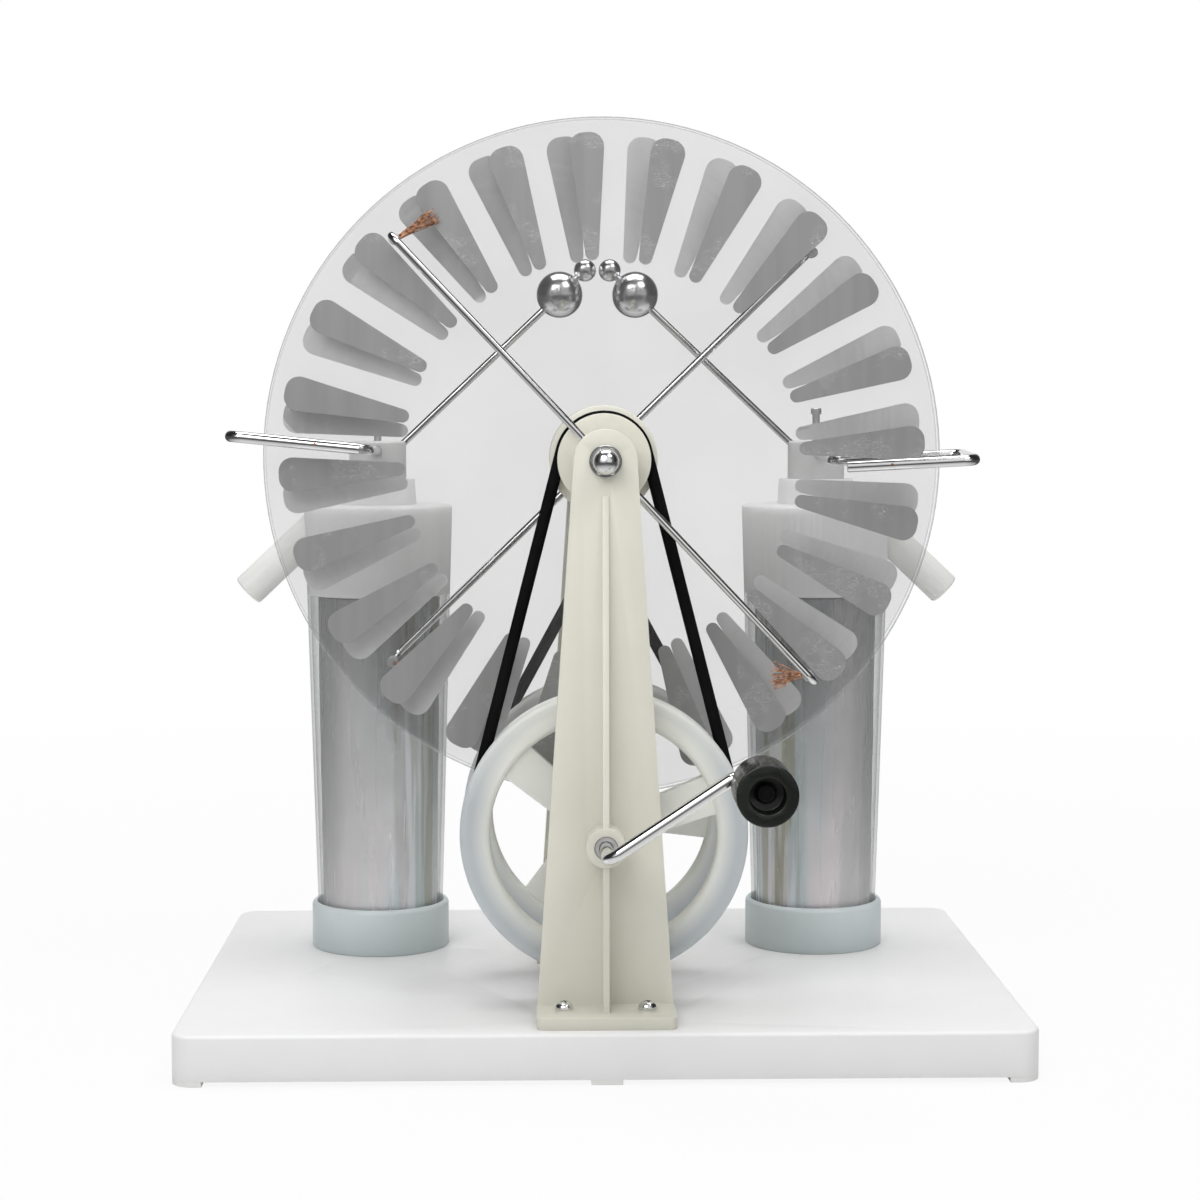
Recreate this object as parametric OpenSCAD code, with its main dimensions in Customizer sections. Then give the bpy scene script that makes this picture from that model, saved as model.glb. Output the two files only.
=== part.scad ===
// Electrostatic generator with two counter-rotating discs and two Leyden jars.
// X runs across the board, Y runs away from the crank and Z runs up.
// The origin lies on the table, midway between the crank handle's front and the board's rear edge.

/* [Base board] */
// Width of the base board
base_w = 330; // [300:1:360]
// Depth of the base board
base_d = 240; // [225:1:260]
// Thickness of the base board
base_t = 17.5; // [12:0.5:24]
// Radius of the board's upright corners
base_corner_r = 9; // [4:0.5:16]
// Rounding of the board's top edge
base_edge_r = 1.4; // [0.6:0.1:3]
// Distance of the board's centre behind the origin
base_setback = 20; // [0:1:40]
// Height of the feet below the board
foot_h = 2; // [1.5:0.5:5]
// Width of a foot
foot_w = 12; // [9:0.5:16]

/* [Uprights] */
// Distance from the discs' middle plane forward of the board's centre
disc_plane = 39; // [30:1:45]
// Distance from the discs' middle plane to an upright's outer face
upright_span = 51; // [49:0.5:56]
// Depth of an upright, from its outer face to the edge of its side walls
upright_depth = 10; // [8:0.5:11]
// Thickness of an upright's face and side walls
upright_wall = 3; // [2:0.25:4]
// Width of an upright at its foot
upright_w = 53.4; // [46:0.2:60]
// Radius of an upright's round head
head_r = 12.3; // [10.5:0.1:15]
// Distance that the foot flange reaches out from the upright's face
flange_reach = 24; // [18:0.5:26]
// Thickness of the foot flange
flange_t = 4.6; // [3:0.2:6]
// Corner radius of the foot flange
flange_corner_r = 3; // [1:0.5:5]
// Thickness of the rib on the upright's face
rib_t = 2.4; // [1.6:0.2:4]
// Reach of the rib at the foot
rib_reach = 16; // [10:0.5:17]
// Outer radius of the bearing boss for the crank
bearing_r = 7.6; // [6.5:0.1:9]
// Distance that the bearing boss stands out from the upright's face
bearing_out = 13; // [12.5:0.5:16]
// Distance between the two screws of a foot flange
flange_screw_span = 32; // [26:1:38]
// Distance of the flange screws from the upright's face
flange_screw_out = 8.6; // [7:0.2:12]
// Diameter of the flange screws
screw_d = 4; // [3:0.25:4.5]

/* [Spindle] */
// Height of the spindle's axis above the board
spindle_h = 215.1; // [205:0.1:225]
// Diameter of the spindle
spindle_d = 6; // [5:0.25:7]
// Outer diameter of the spindle's washers
washer_d = 12.5; // [11:0.5:16]
// Thickness of a washer
washer_t = 1.4; // [0.8:0.1:2]
// Width across flats of the cap nuts
nut_flats = 10; // [9:0.5:12]
// Height of a cap nut's hexagon
nut_h = 5; // [4:0.25:7]

/* [Discs] */
// Radius of the discs
disc_r = 135.5; // [131.5:0.5:137]
// Thickness of a disc
disc_t = 2.5; // [1.5:0.25:3]
// Gap between the two discs
disc_gap = 5; // [4:0.25:6]
// Number of foil sectors on a disc
sector_count = 24; // [16:2:26]
// Radius at which the sectors begin
sector_in_r = 79; // [70:1:85]
// Radius at which the sectors end
sector_out_r = 129.5; // [120:0.5:130]
// Width of a sector near the rim
sector_out_w = 13.8; // [10:0.2:15]
// Width of a sector near the hub
sector_in_w = 5.4; // [3:0.2:8]
// Corner radius of a sector near the rim
sector_corner_r = 5.6; // [3:0.2:6]
// Thickness of the foil
foil_t = 0.2; // [0.1:0.05:0.3]
// Turn of the front disc's sectors from the horizontal, in degrees
front_phase = 2.9; // [0:0.1:15]
// Turn of the rear disc's sectors from the horizontal, in degrees
rear_phase = 7.1; // [0:0.1:15]

/* [Belt drive] */
// Distance of the belt grooves from the discs' middle plane
groove_plane = 27; // [25:0.5:28]
// Diameter of the round belts
belt_d = 5; // [4:0.25:5.5]
// Radius of the belt's centre line on a pulley
pulley_pitch_r = 17; // [15.5:0.25:19]
// Radius of a pulley's low outer flange
pulley_low_r = 18.3; // [17:0.1:19]
// Radius of a pulley's high inner flange
pulley_high_r = 21.3; // [20:0.1:24]
// Radius of a pulley's waist between its flange and the disc
pulley_waist_r = 13; // [9:0.5:16]
// Radius of the belt's centre line on a drive wheel
wheel_pitch_r = 53.5; // [50:0.25:56]
// Outer radius of a drive wheel
wheel_r = 57.2; // [56.5:0.1:60]
// Radius of the opening inside a drive wheel's rim
wheel_in_r = 45; // [40:0.5:46.5]
// Width of a drive wheel's rim
wheel_w = 11; // [9.5:0.5:13]
// Rounding of the rim's edges
rim_edge_r = 2.6; // [0.5:0.1:2.8]
// Number of spokes in a drive wheel
spoke_count = 3; // [3:1:5]
// Width of a spoke at the rim
spoke_rim_w = 16; // [12:0.5:20]
// Width of a spoke at the hub
spoke_hub_w = 12; // [8:0.5:16]
// Thickness of a spoke
spoke_t = 6; // [4:0.5:8]
// Radius of a drive wheel's hub
hub_r = 10; // [8:0.5:13]
// Turn of the front wheel's spokes from the horizontal, in degrees
front_spoke_phase = 20; // [0:1:119]
// Turn of the rear wheel's spokes from the horizontal, in degrees
rear_spoke_phase = 116; // [0:1:119]

/* [Crank] */
// Height of the crank's axis above the board
crank_h = 67.7; // [62:0.1:72]
// Diameter of the crank rod
crank_d = 5; // [4:0.25:6]
// Distance from the upright's face forward to the crank arm
crank_out = 40; // [36:0.5:46]
// Distance from the crank's axis to the handle's axis
crank_r = 63.4; // [56:0.2:66]
// Angle of the handle above the horizontal, in degrees
crank_angle = 26.9; // [-30:0.1:60]
// Angle that the arm leaves the axis above the line to the handle, in degrees
arm_lead = 6.8; // [0:0.2:8]
// Length of the arm's straight run
arm_run = 56.5; // [50:0.5:57]
// Radius of the rod's bends
crank_bend_r = 5; // [4:0.25:6]
// Diameter of the handle
handle_d = 22.8; // [18:0.2:26]
// Length of the handle
handle_l = 27; // [20:0.5:30]
// Gap between the crank arm and the handle
handle_gap = 0.5; // [0.3:0.1:2]
// Diameter of the recess in the handle's end
handle_recess_d = 13.3; // [10:0.1:15]
// Depth of the recess in the handle's end
handle_recess_l = 8; // [5:0.5:12]

/* [Neutralizers] */
// Distance of the neutralizer rods from the discs' middle plane
neutralizer_plane = 38.2; // [37.8:0.1:38.4]
// Diameter of a neutralizer rod
neutralizer_d = 3; // [2:0.25:3.5]
// Radius at which the rods bend towards the discs
neutralizer_r = 119.3; // [112:0.1:124]
// Radius of the rods' bends
neutralizer_bend_r = 4; // [3:0.25:6]
// Radius of a neutralizer's collar
collar_r = 8.5; // [7.5:0.25:11]
// Width of a neutralizer's collar
collar_w = 5; // [4.5:0.1:5.2]
// Angle of the front neutralizer, in degrees
front_rod_angle = 133.5; // [100:0.5:160]
// Angle of the rear neutralizer, in degrees
rear_rod_angle = 44.2; // [20:0.2:80]
// Length of a brush's strands
strand_l = 16.5; // [8:0.5:20]
// Inward slant of the front neutralizer's upper brush, in degrees
front_upper_slant = 12; // [0:1:60]
// Inward slant of the front neutralizer's lower brush, in degrees
front_lower_slant = 42; // [0:1:60]
// Inward slant of the rear neutralizer's upper brush, in degrees
rear_upper_slant = 20; // [0:1:60]
// Inward slant of the rear neutralizer's lower brush, in degrees
rear_lower_slant = 24; // [0:1:60]
// Number of strands in a brush
strand_count = 12; // [6:1:16]

/* [Leyden jars] */
// Distance of a jar's axis from the middle of the board
jar_x = 95.5; // [90:0.5:100]
// Distance of the jars' axes behind the board's centre
jar_back = 47; // [44:0.5:60]
// Outer diameter of a jar's seat
seat_d = 59.8; // [58:0.2:64]
// Height of a jar's seat
seat_h = 20; // [12:0.5:30]
// Thickness of the seat's floor
seat_floor = 3; // [2:0.25:5]
// Outer diameter of the outer cup at its foot
cup_foot_d = 53.7; // [50:0.1:54.5]
// Outer diameter of the outer cup at its mouth
cup_mouth_d = 62.1; // [58:0.1:64]
// Height of the outer cup
cup_h = 151.5; // [130:0.5:160]
// Wall of the outer cup
cup_wall = 1.3; // [0.8:0.1:2]
// Gap between the outer cup's wall and the outer foil at the foot
foil_foot_gap = 1; // [0.4:0.1:2]
// Gap between the outer cup's wall and the outer foil at the mouth
foil_mouth_gap = 3.5; // [1:0.1:4]
// Wall of the inner jar
jar_wall = 1.8; // [1:0.1:3]
// Distance of the inner jar's rim below the outer cup's rim
jar_drop = 0.5; // [0.5:0.5:3]
// Distance of the outer foil's edge below the inner jar's rim
foil_drop = 0.5; // [0.5:0.5:20]
// Distance of the inner foil's edge below the inner jar's rim
inner_foil_drop = 48; // [10:1:60]

/* [Jar caps] */
// Height of a jar's cap
cap_h = 39; // [36:0.5:48]
// Diameter of a cap at its top
cap_top_d = 64.4; // [62:0.1:67]
// Wall of a cap
cap_wall = 2.4; // [1.6:0.1:3]
// Depth of the cap's spigot in the inner jar
spigot_h = 6; // [3:0.5:6]
// Diameter of the boss on a cap
boss_d = 33.2; // [30:0.2:38]
// Height of the boss on a cap
boss_h = 11; // [10:0.5:14]
// Diameter of the terminal block
block_d = 24.6; // [22:0.2:28]
// Height of the terminal block
block_h = 16.5; // [15:0.5:19]
// Height of the discharger's axis above the block's foot
discharger_up = 5; // [4:0.1:5.5]
// Height of the collector's socket above the block's foot
socket_up = 12; // [11:0.1:12.5]
// Diameter of the clamp screws
clamp_d = 3.2; // [2.5:0.1:4]
// Height of a clamp screw above its block
clamp_out = 14.2; // [10:0.2:20]
// Diameter of the rod that reaches down into a jar
contact_d = 4; // [3:0.25:5]

/* [Dischargers] */
// Angle of the dischargers' axes to the horizontal, in degrees
discharger_angle = 43.4; // [41:0.1:46]
// Diameter of a discharger's rod
discharger_d = 3; // [2.5:0.1:3.5]
// Diameter of a discharger's large ball
ball_d = 20; // [16:0.5:24]
// Diameter of a discharger's tip ball
tip_d = 9.6; // [7:0.2:12]
// Space between the large ball and the tip ball
neck = 0.4; // [0.2:0.1:4]
// Gap between the two tip balls
spark_gap = 1.1; // [0.6:0.1:10]
// Diameter of a discharger's handle
grip_d = 14.4; // [12:0.2:16]
// Distance from the jar's axis to the handle's inner end
grip_in = 37; // [36.5:0.5:40]
// Distance from the jar's axis to the handle's outer end
grip_out = 78.4; // [72:0.2:82]

/* [Collectors] */
// Distance of a collector's arms from the discs' middle plane
collector_half = 18.5; // [16:0.5:20]
// Diameter of a collector's rod
collector_d = 4.5; // [3.5:0.25:5]
// Distance from the middle of the board to the collector's bend
collector_x = 147.8; // [146:0.2:156]
// Distance from the middle of the board to the free end of a collector's front arm
collector_end_x = 96.5; // [88:0.5:108]
// Distance from the middle of the board to a collector's needles
needle_x = 114; // [105:0.5:126]
// Diameter of a collecting needle
needle_d = 1.2; // [0.8:0.1:1.8]
// Gap between a needle's point and the foil
needle_gap = 2.5; // [1:0.25:4]
// Upward tilt of the left collector towards its bend, in degrees
left_tilt = 5.7; // [0:0.1:7]
// Upward tilt of the right collector towards its bend, in degrees
right_tilt = 3; // [0:0.1:7]
// Rise of the left collector towards the front, in degrees
left_rise = 1.5; // [-3:0.1:3]
// Rise of the right collector towards the front, in degrees
right_rise = -2.4; // [-3:0.1:3]

/* [Hidden] */
$fn = 96;

// Clearances
shaft_fit = 0.05;
seat_fit = 0.15;
hole_fit = 0.2;
slide_fit = 0.1;
side_gap = 0.3;
over = 1;
seam = 0.25;

// Heights and planes that the pieces share
base_top = foot_h + base_t;
disc_y = base_setback - disc_plane;
jar_y = base_setback + jar_back;
spindle_z = base_top + spindle_h;
crank_z = base_top + crank_h;
disc_in = disc_gap / 2;
disc_out = disc_in + disc_t;
upright_in = upright_span - upright_depth;
LEFT = -1;
RIGHT = 1;

// Screws
screw_r = screw_d / 2;
screw_head_r = screw_d * 0.85;
screw_head_h = screw_d * 0.58;
screw_l = 14;
flange_screw_y = -(upright_span + flange_screw_out);

// Belt and wheel values
groove_r = belt_d / 2 + side_gap;
groove_flare = 18;
axis_span = spindle_z - crank_z;

// Crank values
bush_r = crank_d / 2 + 2.1;
bush_l = 12;
bush_drop = 0.9;
arm_plane = -(upright_span + crank_out);
handle_back = arm_plane - crank_d / 2 - handle_gap;
handle_front = handle_back - handle_l;
handle_at = [crank_r * cos(crank_angle), crank_r * sin(crank_angle)];
arm_angle = crank_angle + arm_lead;
arm_end = [arm_run * cos(arm_angle), arm_run * sin(arm_angle)];
pin_end = handle_front + handle_recess_l - side_gap;
pin_head_r = crank_d * 0.68;
pin_head_h = 2.4;
countersink = 6;

// Jar values
seat_top = seat_h;
cup_foot = seat_floor;
cup_rim = cup_foot + cup_h;
cup_draft = (cup_mouth_d - cup_foot_d) / 2 / cup_h;
function cup_r(z) = cup_foot_d / 2 + cup_draft * (z - cup_foot);
cup_floor = 2;
jar_foot = cup_foot + cup_floor;
jar_rim = cup_rim - jar_drop;
foil_foot_r = cup_r(jar_foot) - cup_wall - foil_foot_gap;
foil_rim_r = cup_r(jar_rim) - cup_wall - foil_mouth_gap;
function foil_r(z) = foil_foot_r + (foil_rim_r - foil_foot_r) * (z - jar_foot) / (jar_rim - jar_foot);
function jar_r(z) = foil_r(z) - foil_t;
cap_top = cup_rim + cap_h;
block_foot = cap_top + boss_h;
discharger_z = block_foot + discharger_up;
socket_z = block_foot + socket_up;
contact_foot = jar_foot + jar_wall + foil_t;
contact_top = block_foot - 1.5;

// Discharger values, measured along its axis from the jar's axis
tip_x = spark_gap / 2 + tip_d / 2;
tip_at = (jar_x - tip_x) / cos(discharger_angle);
ball_at = tip_at - (ball_d + tip_d) / 2 - neck;

// Collector values
socket_l = 8;
collector_bend_r = 5;
needle_point = 2.5;
jar_span = jar_back + disc_plane;
arm_rear = -jar_span + collector_half;
arm_front = -jar_span - collector_half;

// A cylinder along Y
module rod_y(y0, y1, r) {
    translate([0, y0, 0]) rotate([-90, 0, 0]) cylinder(h = y1 - y0, r = r);
}

// A flat outline in X and Z, given thickness along Y
module slab_y(y0, y1) {
    translate([0, y1, 0]) rotate([90, 0, 0]) linear_extrude(y1 - y0) children();
}

// A profile of radius and Y, turned about Y
module turned_y() {
    rotate([-90, 0, 0]) rotate_extrude() children();
}

// Front pieces are drawn as they lie, and rear pieces are their mirror image in the discs' plane
module front_side() {
    translate([0, disc_y, 0]) children();
}
module rear_side() {
    translate([0, disc_y, 0]) mirror([0, 1, 0]) children();
}

// The right jar's pieces are drawn as they lie, and the left jar's are their mirror image
module jar_side(side) {
    if (side == LEFT) mirror([1, 0, 0]) translate([jar_x, jar_y, base_top]) children();
    if (side == RIGHT) translate([jar_x, jar_y, base_top]) children();
}

// A rectangle with four round corners
module rounded_rect(x0, x1, y0, y1, r) {
    translate([x0 + r, y0]) square([x1 - x0 - 2 * r, y1 - y0]);
    translate([x0, y0 + r]) square([x1 - x0, y1 - y0 - 2 * r]);
    for (x = [x0 + r, x1 - r], y = [y0 + r, y1 - r]) translate([x, y]) circle(r);
}

// Points of an arc about a centre
function arc(c, r, a0, a1, n) = [for (i = [0:n]) let(a = a0 + (a1 - a0) * i / n) c + r * [cos(a), sin(a)]];

// Angle of the normal of the line that touches two circles on their left side
function tangent_normal(c1, r1, c2, r2) =
    atan2(c2[1] - c1[1], c2[0] - c1[0]) + acos((r1 - r2) / norm(c2 - c1));

function unit(v) = v / norm(v);
function turn_angle(a, b, c) = acos(unit(b - a) * unit(c - b));
function bend_setback(a, b, c, bend) = bend * tan(turn_angle(a, b, c) / 2);
// Angles for rotate() that carry X and Y to the unit vectors x and y
function frame_angles(x, y) = [atan2(y[2], cross(x, y)[2]), -asin(x[2]), atan2(x[1], x[0])];

module rod_between(a, b, r) {
    d = b - a;
    translate(a) rotate([0, acos(d[2] / norm(d)), atan2(d[1], d[0])]) cylinder(h = norm(d), r = r);
}

// The round bend of a rod at b, on its way from a to c, with a hair-thin sleeve over each seam
module rod_bend(a, b, c, r, bend) {
    in_dir = unit(b - a);
    out_dir = unit(c - b);
    axis = unit(cross(in_dir, out_dir));
    start = b - in_dir * bend_setback(a, b, c, bend);
    end = b + out_dir * bend_setback(a, b, c, bend);
    centre = start + cross(axis, in_dir) * bend;
    rod_between(start - in_dir * seam, start + in_dir * seam, r + 0.02);
    rod_between(end - out_dir * seam, end + out_dir * seam, r + 0.02);
    translate(centre)
        rotate(frame_angles(unit(start - centre), in_dir))
            rotate_extrude(angle = turn_angle(a, b, c), $fn = 48) translate([bend, 0]) circle(r);
}

// A rod through a list of points, with round bends
module bent_rod(pts, r, bend) {
    last = len(pts) - 1;
    cut = [for (i = [0:last])
        i == 0 || i == last ? 0 : bend_setback(pts[i - 1], pts[i], pts[i + 1], bend)];
    for (i = [0:last - 1]) {
        d = unit(pts[i + 1] - pts[i]);
        rod_between(pts[i] + d * cut[i], pts[i + 1] - d * cut[i + 1], r);
    }
    for (i = [1:last - 1]) rod_bend(pts[i - 1], pts[i], pts[i + 1], r, bend);
}

// Base board, with pilot holes for the uprights' screws and bores for the jars' screws
module board_post() {
    rotate_extrude($fn = 32)
        polygon(concat(
            [[0, 0], [base_corner_r, 0]],
            arc([base_corner_r - base_edge_r, base_t - base_edge_r], base_edge_r, 0, 90, 4),
            [[0, base_t]]
        ));
}
module flange_screw_places() {
    for (x = [-1, 1] * flange_screw_span / 2) translate([x, flange_screw_y, 0]) children();
}
module base_board() {
    x = base_w / 2 - base_corner_r;
    y = base_d / 2 - base_corner_r;
    color("white") difference() {
        translate([0, base_setback, foot_h])
            hull() for (i = [-x, x], j = [-y, y]) translate([i, j, 0]) board_post();
        front_side() flange_screw_places() pilot_hole();
        rear_side() flange_screw_places() pilot_hole();
        for (side = [LEFT, RIGHT]) jar_side(side) jar_screw_hole();
    }
}
module pilot_hole() {
    translate([0, 0, base_top - screw_l]) cylinder(h = screw_l + over, r = screw_r + shaft_fit);
}
module feet() {
    x = base_w / 2;
    y = base_d / 2;
    color("whitesmoke") translate([0, base_setback, 0]) linear_extrude(foot_h) intersection() {
        rounded_rect(-x, x, -y, y, base_corner_r);
        for (i = [-x, -foot_w / 2, x - foot_w], j = [-y, y - foot_w])
            translate([i, j]) square(foot_w);
    }
}

// Uprights: a tapered channel with a round head, a foot flange and a rib down its face
module taper_outline(half_w, r) {
    top = spindle_z - base_top;
    n = tangent_normal([half_w, 0], 0, [0, top], r) - 180;
    translate([0, top]) circle(r);
    polygon([
        [-half_w, 0], [half_w, 0],
        [r * cos(n), top + r * sin(n)], [-r * cos(n), top + r * sin(n)]
    ]);
}
module flange() {
    half = upright_w / 2;
    out = upright_span + flange_reach;
    r = flange_corner_r;
    translate([0, 0, base_top]) difference() {
        linear_extrude(flange_t) {
            translate([-half, -out + r]) square([2 * half, out - r - upright_in]);
            translate([-half + r, -out]) square([2 * half - 2 * r, r]);
            for (x = [-half + r, half - r]) translate([x, -out + r]) circle(r);
        }
        flange_screw_places() translate([0, 0, -over])
            cylinder(h = flange_t + 2 * over, r = screw_r + hole_fit);
    }
}
module face_rib() {
    top = spindle_h - head_r - 1;
    translate([-rib_t / 2, 0, base_top]) rotate([90, 0, 90]) linear_extrude(rib_t)
        polygon([
            [-upright_span + 0.5, flange_t / 2], [-upright_span - rib_reach, flange_t / 2],
            [-upright_span - rib_reach, flange_t + 2], [-upright_span - 0.8, top],
            [-upright_span + 0.5, top]
        ]);
}
bush_front = -upright_span - bearing_out + bush_drop;
module upright() {
    difference() {
        union() {
            difference() {
                translate([0, 0, base_top]) slab_y(-upright_span, -upright_in)
                    taper_outline(upright_w / 2, head_r);
                translate([0, 0, base_top + flange_t])
                    slab_y(-upright_span + upright_wall, -upright_in + over)
                        translate([0, -flange_t])
                            taper_outline(upright_w / 2 - upright_wall, head_r - upright_wall);
            }
            flange();
            face_rib();
            translate([0, 0, spindle_z]) rod_y(-upright_span + over, -upright_in, head_r - 1);
            translate([0, 0, crank_z]) rod_y(-upright_span - bearing_out, -upright_in, bearing_r);
        }
        translate([0, 0, spindle_z]) rod_y(-upright_span - over, -upright_in + over,
            spindle_d / 2 + shaft_fit);
        translate([0, 0, crank_z]) {
            rod_y(-upright_span - bearing_out - over, -upright_in + over, crank_d / 2 + shaft_fit);
            rod_y(-upright_span - bearing_out - over, bush_front + bush_l, bush_r + shaft_fit);
        }
    }
}
module front_upright() {
    color("cornsilk") front_side() upright();
}
module rear_upright() {
    color("cornsilk") rear_side() upright();
}

// Metal bushes that the crank rod turns in
module crank_bush() {
    bore = crank_d / 2 + shaft_fit;
    e = 0.4;
    translate([0, 0, crank_z]) turned_y() polygon([
        [bore, bush_front + e], [bore + e, bush_front], [bush_r - e, bush_front],
        [bush_r, bush_front + e], [bush_r, bush_front + bush_l], [bore, bush_front + bush_l]
    ]);
}
module crank_bushes() {
    color("silver") {
        front_side() crank_bush();
        rear_side() crank_bush();
    }
}

// A pan-head screw whose head sits on the XY plane
module pan_screw(l) {
    rotate_extrude()
        polygon(concat(
            [[0, -l], [screw_r, -l], [screw_r, 0], [screw_head_r, 0]],
            arc([0, screw_head_h - screw_head_r * 1.2], screw_head_r * 1.2, 40, 90, 8)
        ));
}
module upright_screws() {
    color("silver") {
        front_side() flange_screw_places() translate([0, 0, base_top + flange_t])
            pan_screw(screw_l + flange_t - 1);
        rear_side() flange_screw_places() translate([0, 0, base_top + flange_t])
            pan_screw(screw_l + flange_t - 1);
    }
}

// Spindle, fixed in both uprights, on which the discs and the neutralizers turn
spindle_end = upright_span + washer_t + nut_h + 1;
module spindle() {
    color("silver") translate([0, disc_y, spindle_z]) {
        rod_y(-spindle_end, spindle_end, spindle_d / 2);
        rod_y(-disc_in + side_gap, disc_in - side_gap, spindle_d / 2 + 3);
    }
}
module spindle_washer() {
    translate([0, 0, spindle_z]) difference() {
        rod_y(-upright_span - washer_t, -upright_span, washer_d / 2);
        rod_y(-upright_span - washer_t - over, -upright_span + over, spindle_d / 2 + hole_fit);
    }
}
module spindle_washers() {
    color("silver") {
        front_side() spindle_washer();
        rear_side() spindle_washer();
    }
}
module cap_nut() {
    seat = -upright_span - washer_t;
    dome_r = nut_flats * 0.47;
    translate([0, 0, spindle_z]) difference() {
        union() {
            translate([0, seat - nut_h, 0]) rotate([-90, 0, 0])
                cylinder(h = nut_h, d = nut_flats / cos(30), $fn = 6);
            translate([0, seat - nut_h, 0]) sphere(dome_r);
        }
        rod_y(-spindle_end, seat + over, spindle_d / 2 + shaft_fit);
    }
}
module spindle_nuts() {
    color("silver") {
        front_side() cap_nut();
        rear_side() cap_nut();
    }
}

// Discs and their foil sectors
module disc() {
    color("lightcyan", 0.4) translate([0, 0, spindle_z]) difference() {
        rod_y(-disc_out, -disc_in, disc_r);
        rod_y(-disc_out - over, -disc_in + over, spigot_r + seat_fit);
    }
}
module sector_outline() {
    inner = [sector_in_r + sector_in_w / 2, 0];
    outer = [sector_out_r - sector_corner_r, sector_out_w / 2 - sector_corner_r];
    n = tangent_normal(inner, sector_in_w / 2, outer, sector_corner_r);
    polygon(concat(
        arc(inner, sector_in_w / 2, n, 360 - n, 8),
        arc([outer[0], -outer[1]], sector_corner_r, -n, 0, 6),
        arc(outer, sector_corner_r, 0, n, 6)
    ));
}
module sectors(phase) {
    color("darkgray") translate([0, 0, spindle_z]) slab_y(-disc_out - foil_t, -disc_out)
        for (i = [0:sector_count - 1]) rotate(phase + i * 360 / sector_count) sector_outline();
}
module front_disc() {
    front_side() disc();
}
module rear_disc() {
    rear_side() disc();
}
module front_sectors() {
    front_side() sectors(front_phase);
}
module rear_sectors() {
    rear_side() sectors(rear_phase);
}

// The groove that a round belt runs in, as a profile to take away
module groove_profile(pitch_r) {
    depth = 12;
    translate([pitch_r, -groove_plane]) circle(groove_r);
    polygon([
        [pitch_r, -groove_plane - groove_r],
        [pitch_r + depth, -groove_plane - groove_r - depth * tan(groove_flare)],
        [pitch_r + depth, -groove_plane + groove_r + depth * tan(groove_flare)],
        [pitch_r, -groove_plane + groove_r]
    ]);
}

// Pulleys, each fixed to its disc
spigot_r = spindle_d / 2 + 5;
pulley_front = groove_plane + 5.5;
module pulley() {
    high_in = groove_plane - groove_r - 2.4;
    color("cornsilk") translate([0, 0, spindle_z]) difference() {
        turned_y() difference() {
            polygon([
                [0, -disc_in - side_gap], [spigot_r, -disc_in - side_gap], [spigot_r, -disc_out],
                [pulley_high_r, -disc_out], [pulley_high_r, -disc_out - 2.5],
                [pulley_waist_r, -disc_out - 2.5], [pulley_waist_r, -high_in],
                [pulley_high_r, -high_in], [pulley_high_r, -groove_plane],
                [pulley_low_r, -groove_plane], [pulley_low_r, -pulley_front], [0, -pulley_front]
            ]);
            groove_profile(pulley_pitch_r);
        }
        rod_y(-pulley_front - over, -disc_in, spindle_d / 2 + shaft_fit);
    }
}
module front_pulley() {
    front_side() pulley();
}
module rear_pulley() {
    rear_side() pulley();
}

// Drive wheels on the crank rod
hub_back = groove_plane - 7;
set_screw_plane = (upright_in + groove_plane + wheel_w / 2) / 2;
module spoke() {
    root = hub_r * 0.7;
    tip = wheel_in_r + 1.5;
    polygon([
        [root, -spoke_hub_w / 2], [tip, -spoke_rim_w / 2],
        [tip, spoke_rim_w / 2], [root, spoke_hub_w / 2]
    ]);
}
module drive_wheel(phase) {
    mid = -groove_plane;
    color("azure") translate([0, 0, crank_z]) difference() {
        union() {
            turned_y() difference() {
                rounded_rect(wheel_in_r, wheel_r, mid - wheel_w / 2, mid + wheel_w / 2, rim_edge_r);
                groove_profile(wheel_pitch_r);
            }
            slab_y(mid - spoke_t / 2, mid + spoke_t / 2)
                for (i = [0:spoke_count - 1]) rotate(phase + i * 360 / spoke_count) spoke();
            rod_y(-upright_in + side_gap, -hub_back, hub_r);
        }
        rod_y(-upright_in, -hub_back + over, crank_d / 2 + shaft_fit);
        translate([0, -set_screw_plane, 0]) cylinder(h = hub_r + over, r = 1.5 + shaft_fit);
    }
}
module front_drive_wheel() {
    front_side() drive_wheel(front_spoke_phase);
}
module rear_drive_wheel() {
    rear_side() drive_wheel(rear_spoke_phase);
}
module set_screw() {
    translate([0, -set_screw_plane, crank_z + crank_d / 2])
        cylinder(h = hub_r - crank_d / 2 - 0.8, r = 1.5);
}
module wheel_set_screws() {
    color("dimgray") {
        front_side() set_screw();
        rear_side() set_screw();
    }
}

// Belts, swept as round tubes along a closed path in the grooves' plane
function ring_points(p, t, sides) =
    let(n = unit(cross(t, [0, 1, 0])), b = cross(n, t))
    [for (k = [0:sides - 1]) p + belt_d / 2 * (cos(360 * k / sides) * n + sin(360 * k / sides) * b)];
module loop_tube(path, sides) {
    count = len(path);
    rings = [for (i = [0:count - 1])
        ring_points(path[i], unit(path[(i + 1) % count] - path[(i + count - 1) % count]), sides)];
    points = [for (ring = rings, p = ring) p];
    function at(i, k) = (i % count) * sides + k % sides;
    faces = [for (i = [0:count - 1], k = [0:sides - 1], f = [
        [at(i, k), at(i + 1, k), at(i + 1, k + 1)],
        [at(i, k), at(i + 1, k + 1), at(i, k + 1)]
    ]) f];
    polyhedron(points, faces);
}
// Points of an arc in X and Z about the crank's or the spindle's height
function arc_xz(z, r, a0, a1, n) =
    [for (i = [0:n]) let(a = a0 + (a1 - a0) * i / n) [r * cos(a), -groove_plane, z + r * sin(a)]];
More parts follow.
